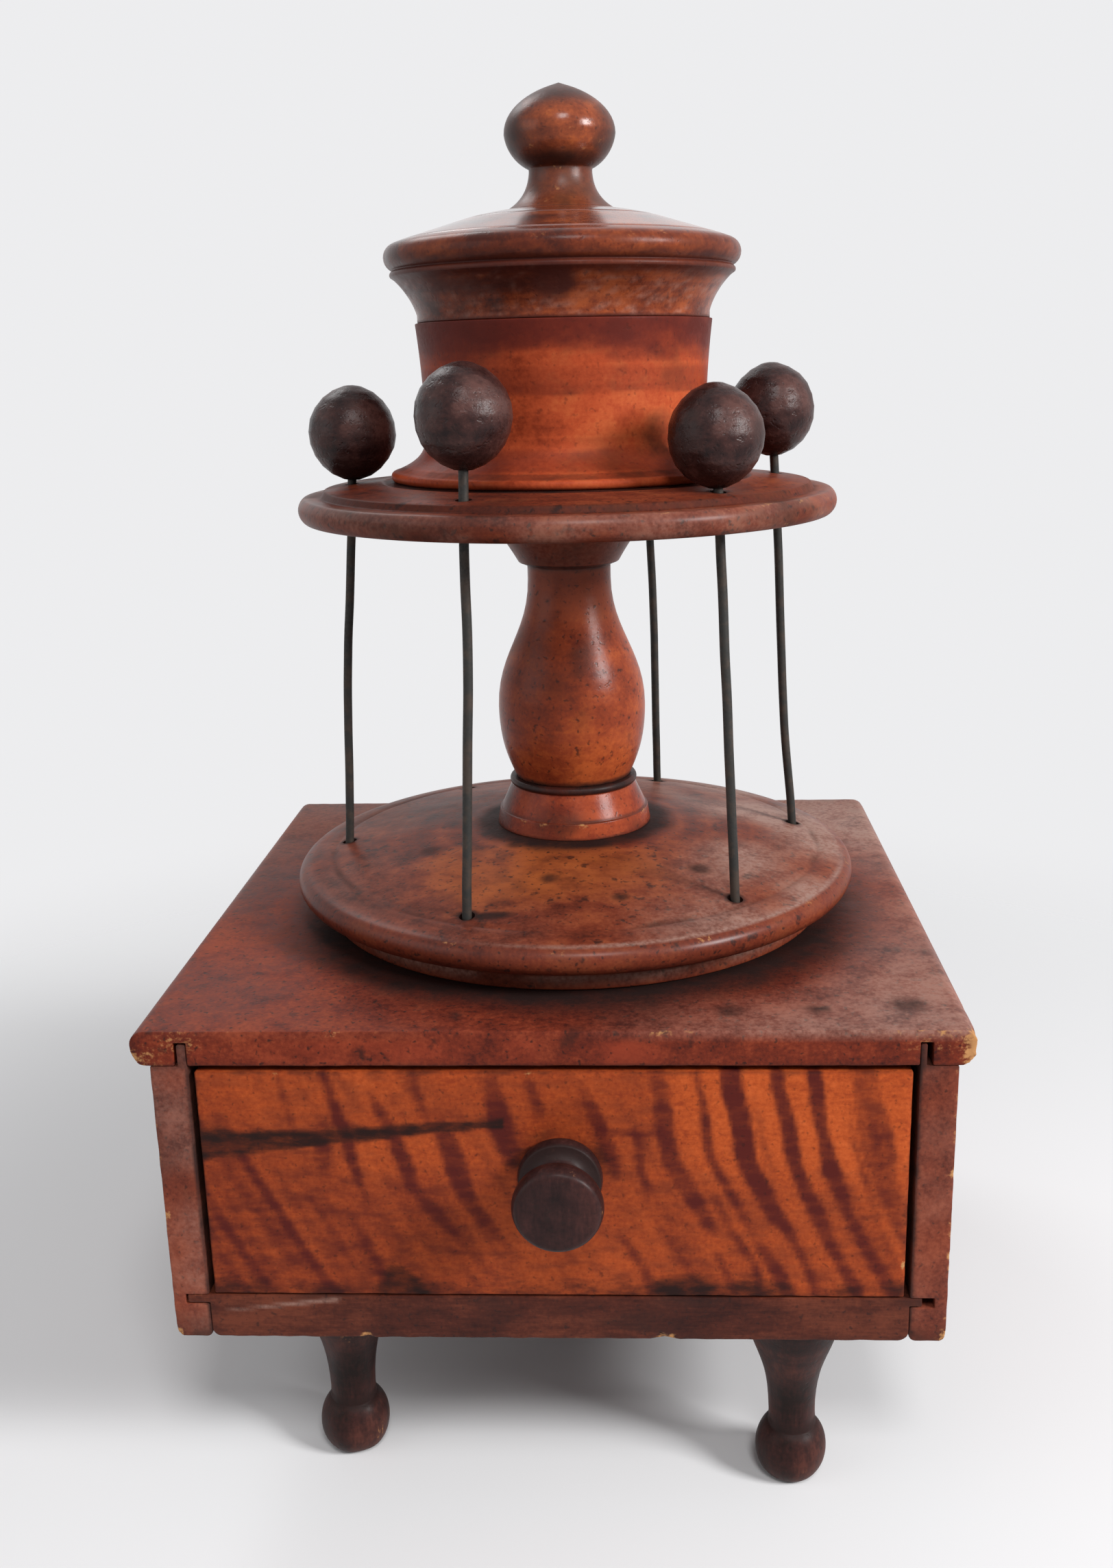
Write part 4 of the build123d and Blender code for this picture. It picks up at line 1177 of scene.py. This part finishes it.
vase = dict(
    eased=0.3, longest=1, steps=120,
    outline=trace((0, 0), (14, 0), curve((15.95, 4.35), (17.9, 8.7), (17.9, 17.4)),
                  curve((17.9, 30.4), (9.95, 35.4), (9.95, 48.4)), (9.95, 51.6), (10.2, 51.8), (12, 52.5),
                  arc((15.55, 58.15), (20, 63.8)), (0, 63.8)),
)


def makeVase():
    def grime(p):
        left = ramp(6, -12, p.x)
        neck = ramp(26, 48, p.z) * (0.02 + 0.22 * left)
        cap = 0.5 * ramp(51.5, 53.5, p.z) + 0.75 * near(p.z, 51.9, 0.7)
        foot = 0.85 * ramp(2.2, 0.3, p.z)
        cloudy = 0.35 * ramp(-0.1, 0.6, clouds(p, 4, 0.07)) + 0.13 * left
        smudgeAndShadow = 0.7 * stain(p.x - 3, (p.z - 31) * 0.8, 3.6, 0.7) * ramp(0, -8, p.y)
        return max(neck, cap, foot, cloudy, smudgeAndShadow)

    def figure(p):
        # painted light: the neck lightened against the shade under the upper disc
        return 0.55 * ramp(30, 46, p.z) * ramp(53, 51, p.z)

    def dust(p):
        return 0.22 * ramp(50, 53, p.z)

    turnOnStand("columnVase", vase, collarHigh.z, "stand", "column", vaseFinish,
                grime=grime, figure=figure, dust=dust)


upperDisc = dict(
    rim=62.8, arris=61.4, rimHigh=5.4, step=57.2, stepHigh=7, seat=41, top=8.5,
    eased=0.35, longest=1.3, steps=200,
)


def makeUpperDisc():
    look = upperDisc
    arris, rimHigh, step, seat, top = [look[key] for key in ("arris", "rimHigh", "step", "seat", "top")]
    outline = trace((0, 0), (arris, 0), arc((look["rim"], rimHigh / 2), (arris, rimHigh)),
                    (step + 0.3, rimHigh + 0.05), (step - 0.5, look["stepHigh"]), (seat + 2.2, top - 0.15),
                    (seat + 1.5, top - 0.5), (seat, top - 0.3), (seat - 1, top), (0, top))
    base = upperLow.z
    piece = turned("upperDisc", look, outline, onStand(base))
    holes = drillPins(piece, base, base - boreClear, upperHigh.z + boreClear, upperHigh.z)

    def polish(p):
        return ramp(3.2, 4.4, p.z) * ramp(59.5, 61, fromAxis(p))

    def dust(p):
        # a dust line along the arris, with painted sheen added at the left end
        left = 0.3 * ramp(-30, -55, p.x) * ramp(2, 5, p.z)
        return (0.26 + left) * ramp(57.5, 61, fromAxis(p)) * ramp(-0.6, 0.4, clouds(p, 14, 0.1, 0.2))

    def grime(p):
        away = fromAxis(p)
        mouths = [0.85 * stain(p.x - hole.x, p.y - hole.y, 2.4, 0.5) for hole in holes]
        cupFoot = 0.8 * ramp(44.5, 41.5, away) * ramp(7, 8, p.z)
        # painted shade in the groove of the step
        groove = 0.6 * near(away, step, 0.9) * ramp(4.8, 5.6, p.z)
        cloudy = 0.6 * ramp(-0.15, 0.55, clouds(p, 6, 0.05, 0.1) - 0.005 * p.x)
        return max(*mouths, cupFoot, groove, cloudy, 0.5 * ramp(1, 0, p.z), 0.2)

    def bare(p):
        away, turn = fromAxis(p), math.atan2(p.y, p.x)
        flecks = ramp(0.15, 0.55, speckle(math.cos(turn) * 30, math.sin(turn) * 30, p.z * 0.9, 5))
        upperEdge = blot(abs(p.z - rimHigh + 0.3), 0.7) * ramp(59.5, 61, away)
        lowerEdge = 0.7 * near(p.z, 1.2, 0.8) * ramp(61, 62, away)
        return 0.55 * flecks * max(upperEdge, lowerEdge) * ramp(0, 40, p.x)

    settle(piece, "stand", "upper_disc", "turned_wood", discFinish,
           polish=polish, dust=dust, grime=grime, bare=bare)


cup = dict(
    eased=0.3, longest=0.8, steps=168,
    outline=trace((0, 0), (39.85, 0), arc((41, 1.15), (39.85, 2.3)),
                  curve((34.4, 4.425), (32.6, 6.55), (32.6, 10.8)), curve((32.6, 22.9), (34, 35)),
                  (29, 35), (29, 8.4), curve((29, 5.4), (26, 5.4)), (0, 5.4)),
    bands=[  # height, darkness
        (0, 0.5), (0.9, 0.1), (2.6, 0.1), (3.6, 0.6), (7.4, 0.55), (8.6, 0.12), (10.5, 0.25), (11.5, 0.05),
        (19.2, 0.08), (19.9, 0.55), (24.6, 0.5), (25.8, 0.32), (28, 0.40), (30, 0.85), (35, 1),
    ],
)


def bandTone(height, bands):  # straight runs between the heights that were chosen
    for (lowEnd, start), (highEnd, end) in zip(bands, bands[1:]):
        if height <= highEnd:
            return start + (end - start) * (height - lowEnd) / (highEnd - lowEnd)
    return bands[-1][1]


def makeCup():
    def figure(p):
        sway = clouds(p, 4, 0.05, 0.1)
        left = ramp(8, -30, p.x + 4 * sway)
        crown = 0.95 * ramp(23, 32, p.z + 3 * sway + clouds(p, 4, 0.3, 0.5))
        return max(bandTone(max(0, p.z + 1.2 * sway), cup["bands"]) * (0.85 + 0.3 * sway), crown) + 0.1 * left

    def grime(p):
        if fromAxis(p) < 29.6:
            return 0.35
        cloudy = clouds(p, 2, 0.05, 0.12)
        left = ramp(-6, -34, p.x + 3 * cloudy)
        # painted shadow of the front right ball on the cup
        smudgeAndShadow = 0.6 * stain(p.x - 21.5, (p.z - 10) * 0.9, 4.6, 0.7) * ramp(0, -10, p.y)
        foot = 0.6 * near(p.z, 2.7, 0.6)
        crown = 0.3 * ramp(28, 34, p.z + 3 * cloudy)
        return max(0.08 * left * (0.7 + 0.5 * cloudy), smudgeAndShadow, foot, crown, 0.7 * ramp(0.6, 0, p.z))

    def bare(p):
        flecks = ramp(0.35, 0.65, clouds(p, 7, 0.2, 0.4))
        return 0.6 * flecks * ramp(34.3, 34.9, p.z) * ramp(32.5, 33.6, fromAxis(p))

    turnOnStand("cupWall", cup, boxOf("cup")[0].z, "stand", "cup", cupFinish,
                figure=figure, grime=grime, bare=bare)


# Lid

lidLow, lidHigh = boxOf("lid")
spigot = 5       # how deep the lid sits in the cup
seat = 0.27      # how far it settles on the rim
lid = dict(
    eased=0.3, longest=0.9, steps=176, lines=(17, 22, 36),
    outline=trace((0, -spigot + 3), (22.5, -spigot + 3), (23, -spigot), (28.7, -spigot), (28.7, -seat),
                  (33.4, -seat), (33.4, 1.4), curve((34.2, 4.6), (36.7, 7.8), (38.3, 9.2)), (39.2, 9.8),
                  (39.2, 10.5), (38.6, 11.1), arc((40.4, 13.9), (38.6, 16.7)), (36.4, 17.5), (36, 17.3),
                  (35.5, 17.75), (22.4, 21.7), (22, 21.5), (21.5, 21.95), (17.4, 22.85), (17, 22.65),
                  (16.5, 23), (12.3, 23.7), (0, 23.7)),
)


def makeLid():
    def polish(p):
        return ramp(15.5, 18, p.z)

    def dust(p):
        return 0.3 * ramp(11, 9, p.z) * ramp(0, 0.5, clouds(p, 9, 0.5, 1))

    def grime(p):
        away = fromAxis(p)
        cloudy = clouds(p, 1, 0.06, 0.15)
        fine = 0.6 * clouds(p, 3, 0.4, 0.6) + 0.7 * clouds(p, 5, 1, 1.2)
        share = 0
        if p.z < 11.5:  # the cove under the rim
            left = 0.34 + 0.66 * ramp(18, -14, p.x)
            # the cove darker towards its top, under the rim, and on the left
            coveDark = 0.76 * ramp(3.4, 6.6, p.z + 1.6 * fine + 1.4 * cloudy) * left
            drip = stain((p.x + 0.5 + 2 * fine) / 1.5, (p.z - 7.6) * 0.9, 3.8, 0.4)
            share = max(coveDark * ramp(-0.9, -0.1, cloudy + 0.8 * fine), 0.95 * drip * ramp(0, -15, p.y),
                        0.35 * ramp(-8, -30, p.x) * ramp(1.2, 3, p.z),
                        0.75 * ramp(6.5, 9.4, p.z + 2 * cloudy), 0.8 * ramp(0.6, 0, p.z))
        elif p.z < 17.2:  # the rim
            share = 0.42 + 0.35 * cloudy + 0.3 * fine + 0.3 * ramp(13.4, 11.6, p.z)
        lines = max(near(away, radius, 0.45) for radius in lid["lines"]) * ramp(16.8, 17.4, p.z)
        neck = ramp(17, 12.6, away) * ramp(20, 22, p.z)
        return max(share, 0.55 * lines, 0.5 * neck, 0.9 * near(p.z, 11.1, 0.35))

    def bare(p):
        flecks = ramp(0.2, 0.55, clouds(p, 8, 0.2, 0.5))
        foot = near(p.z, 1.3, 0.6) * ramp(0.2, 0.5, clouds(p, 4, 0.1, 0))
        return max(0.8 * foot * flecks, 0.35 * flecks * near(p.z, 15.9, 0.8))

    turnOnStand("lidTurning", lid, lidLow.z + spigot, "lid", "lid", lidFinish,
                polish=polish, dust=dust, grime=grime, bare=bare)


finial = dict(
    eased=0.3, longest=0.8, steps=112, lumps=0.12,
    outline=trace((0, 0), (12.3, 0), curve((7.1, 2.87), (7.1, 8.6)), arc((10.3, 11), (12.4, 15.9)),
                  curve((12.4, 20.7), (7.6, 23.9), (2.7, 25.6)), (0, 26.5)),
)


def makeFinial():
    def lumps(angle, radius, height):
        uneven = speckle(math.cos(angle), math.sin(angle), height * 0.15, 2)
        return finial["lumps"] * uneven * ramp(4, 8, height)

    def grime(p):
        # painted shade: darker at the onion's left, right, top and underside; the neck, shank and foot are
        # darker too
        cloudy = clouds(p, 5, 0.12)
        neck = 0.75 * near(p.z, 8.7, 0.7)
        crown = 0.88 * ramp(18, 24, p.z + 2 * cloudy)
        left = 0.84 * ramp(-3, -10, p.x + 3 * cloudy)
        right = 0.86 * ramp(5, 10.5, p.x + 3 * cloudy) * ramp(8, 11, p.z)
        under = 0.85 * ramp(14.5, 10, p.z) * ramp(8, 9, p.z)
        shank = 0.66 * ramp(9, 8, p.z)
        foot = 0.7 * ramp(0.8, 0, p.z)
        return max(neck, crown, left, right, under, shank, foot, 0.3 * ramp(0, 0.5, cloudy))

    def bare(p):
        return 0.3 * ramp(0.4, 0.7, clouds(p, 9, 0.4))

    turnOnStand("onionFinial", finial, lidHigh.z, "lid", "lid_knob", finialFinish, lumps,
                grime=grime, bare=bare)


makeLowerDisc()
makeCollar()
makeVase()
makeUpperDisc()
makeCup()
makeLid()
makeFinial()
for node in ("case_nails", "drawer_nails", "pivot_washer", "pivot_screw"):
    metal = frame["nodes"][node]
    metal.data.materials.clear()
    metal.data.materials.append(steelFinish)
print("stand and lid made")


# Studio

studio = dict(
    ambient=0.25, shown=0.86, skyTint=(0.985, 0.985, 1, 1),
    lamps=[  # place in metres, size, strength on a facing surface
        ((0.78, -0.42, 0.58), 0.26, 0.99),
        ((0.13, -0.66, 0.90), 0.24, 0.34),
        ((-0.55, 0.65, 1.05), 0.50, 0.16),
        ((-0.75, -0.35, 0.45), 0.60, 0.14),
    ],
    aim=(0, 0, 0.15), floorRadius=1.6, fadeFrom=0.16, fadeTo=0.46, floorTint=(0.83, 0.83, 0.84, 1),
)


def makeStudio():
    world = bpy.data.worlds.new("softStudio")
    scene.world = world
    world.use_nodes = True
    tree = world.node_tree
    path = addNode(tree, "LightPath").outputs
    seen = sums(tree, "MAXIMUM", path["Is Camera Ray"], path["Is Glossy Ray"])
    seen = sums(tree, "MAXIMUM", seen, path["Is Transmission Ray"])
    glow = between(tree, seen, 0, 1, studio["ambient"], studio["shown"])
    plug(tree, tree.nodes["Background"], {"Color": studio["skyTint"], "Strength": glow})
    for index, (place, size, strength) in enumerate(studio["lamps"]):
        lamp = bpy.data.lights.new("lamp.%d" % index, "AREA")
        lamp.size = size
        run = Vector(studio["aim"]) - Vector(place)
        lamp.energy = strength * math.pi ** 2 * run.length_squared
        stand = bpy.data.objects.new(lamp.name, lamp)
        stand.location = place
        stand.rotation_euler = run.to_track_quat("-Z", "Y").to_euler()
        scene.collection.objects.link(stand)


def makeFloor():
    radius, steps = studio["floorRadius"], 64
    turns = [math.tau * step / steps for step in range(steps)]
    ring = [(math.cos(turn) * radius / mm, math.sin(turn) * radius / mm, 0) for turn in turns]
    floor = addPiece("paleFloor", ring, [list(range(steps))])
    finish, tree, shader = newFinish("paleFloor")
    plug(tree, shader, {"Base Color": studio["floorTint"], "Roughness": 0.75, "Specular IOR Level": 0.15})
    spot = addNode(tree, "TexCoord").outputs["Object"]
    away = addNode(tree, "VectorMath", {0: spot}, operation="LENGTH").outputs[1]
    fade = between(tree, away, studio["fadeFrom"], studio["fadeTo"])
    clear = addNode(tree, "BsdfTransparent").outputs[0]
    mixed = addNode(tree, "MixShader", {0: fade, 1: shader.outputs[0], 2: clear}).outputs[0]
    plug(tree, tree.nodes["Material Output"], {"Surface": mixed})
    floor.data.materials.append(finish)


viewpoint = dict(place=(0.0191, -0.3463, 0.2461), yaw=-0.044, pitch=0.264, roll=-0.021,
                 lens=34, shift=(-0.0138, -0.0152))


def makeCamera():
    look = viewpoint
    yaw, pitch, roll = look["yaw"], look["pitch"], look["roll"]
    ahead = Vector((math.sin(yaw) * math.cos(pitch), math.cos(yaw) * math.cos(pitch), -math.sin(pitch)))
    right = Vector((math.cos(yaw), -math.sin(yaw), 0))
    up = right.cross(ahead)
    across = right * math.cos(roll) + up * math.sin(roll)
    upward = up * math.cos(roll) - right * math.sin(roll)
    turn = Matrix((across, upward, -ahead)).transposed()
    camera = bpy.data.cameras.new("photoView")
    camera.sensor_width = 36
    camera.lens = look["lens"]
    camera.shift_x, camera.shift_y = look["shift"]
    camera.clip_start = 0.01
    holder = bpy.data.objects.new("photoView", camera)
    holder.matrix_world = Matrix.Translation(Vector(look["place"])) @ turn.to_4x4()
    scene.collection.objects.link(holder)
    scene.camera = holder


makeStudio()
makeFloor()
makeCamera()
print("studio made")
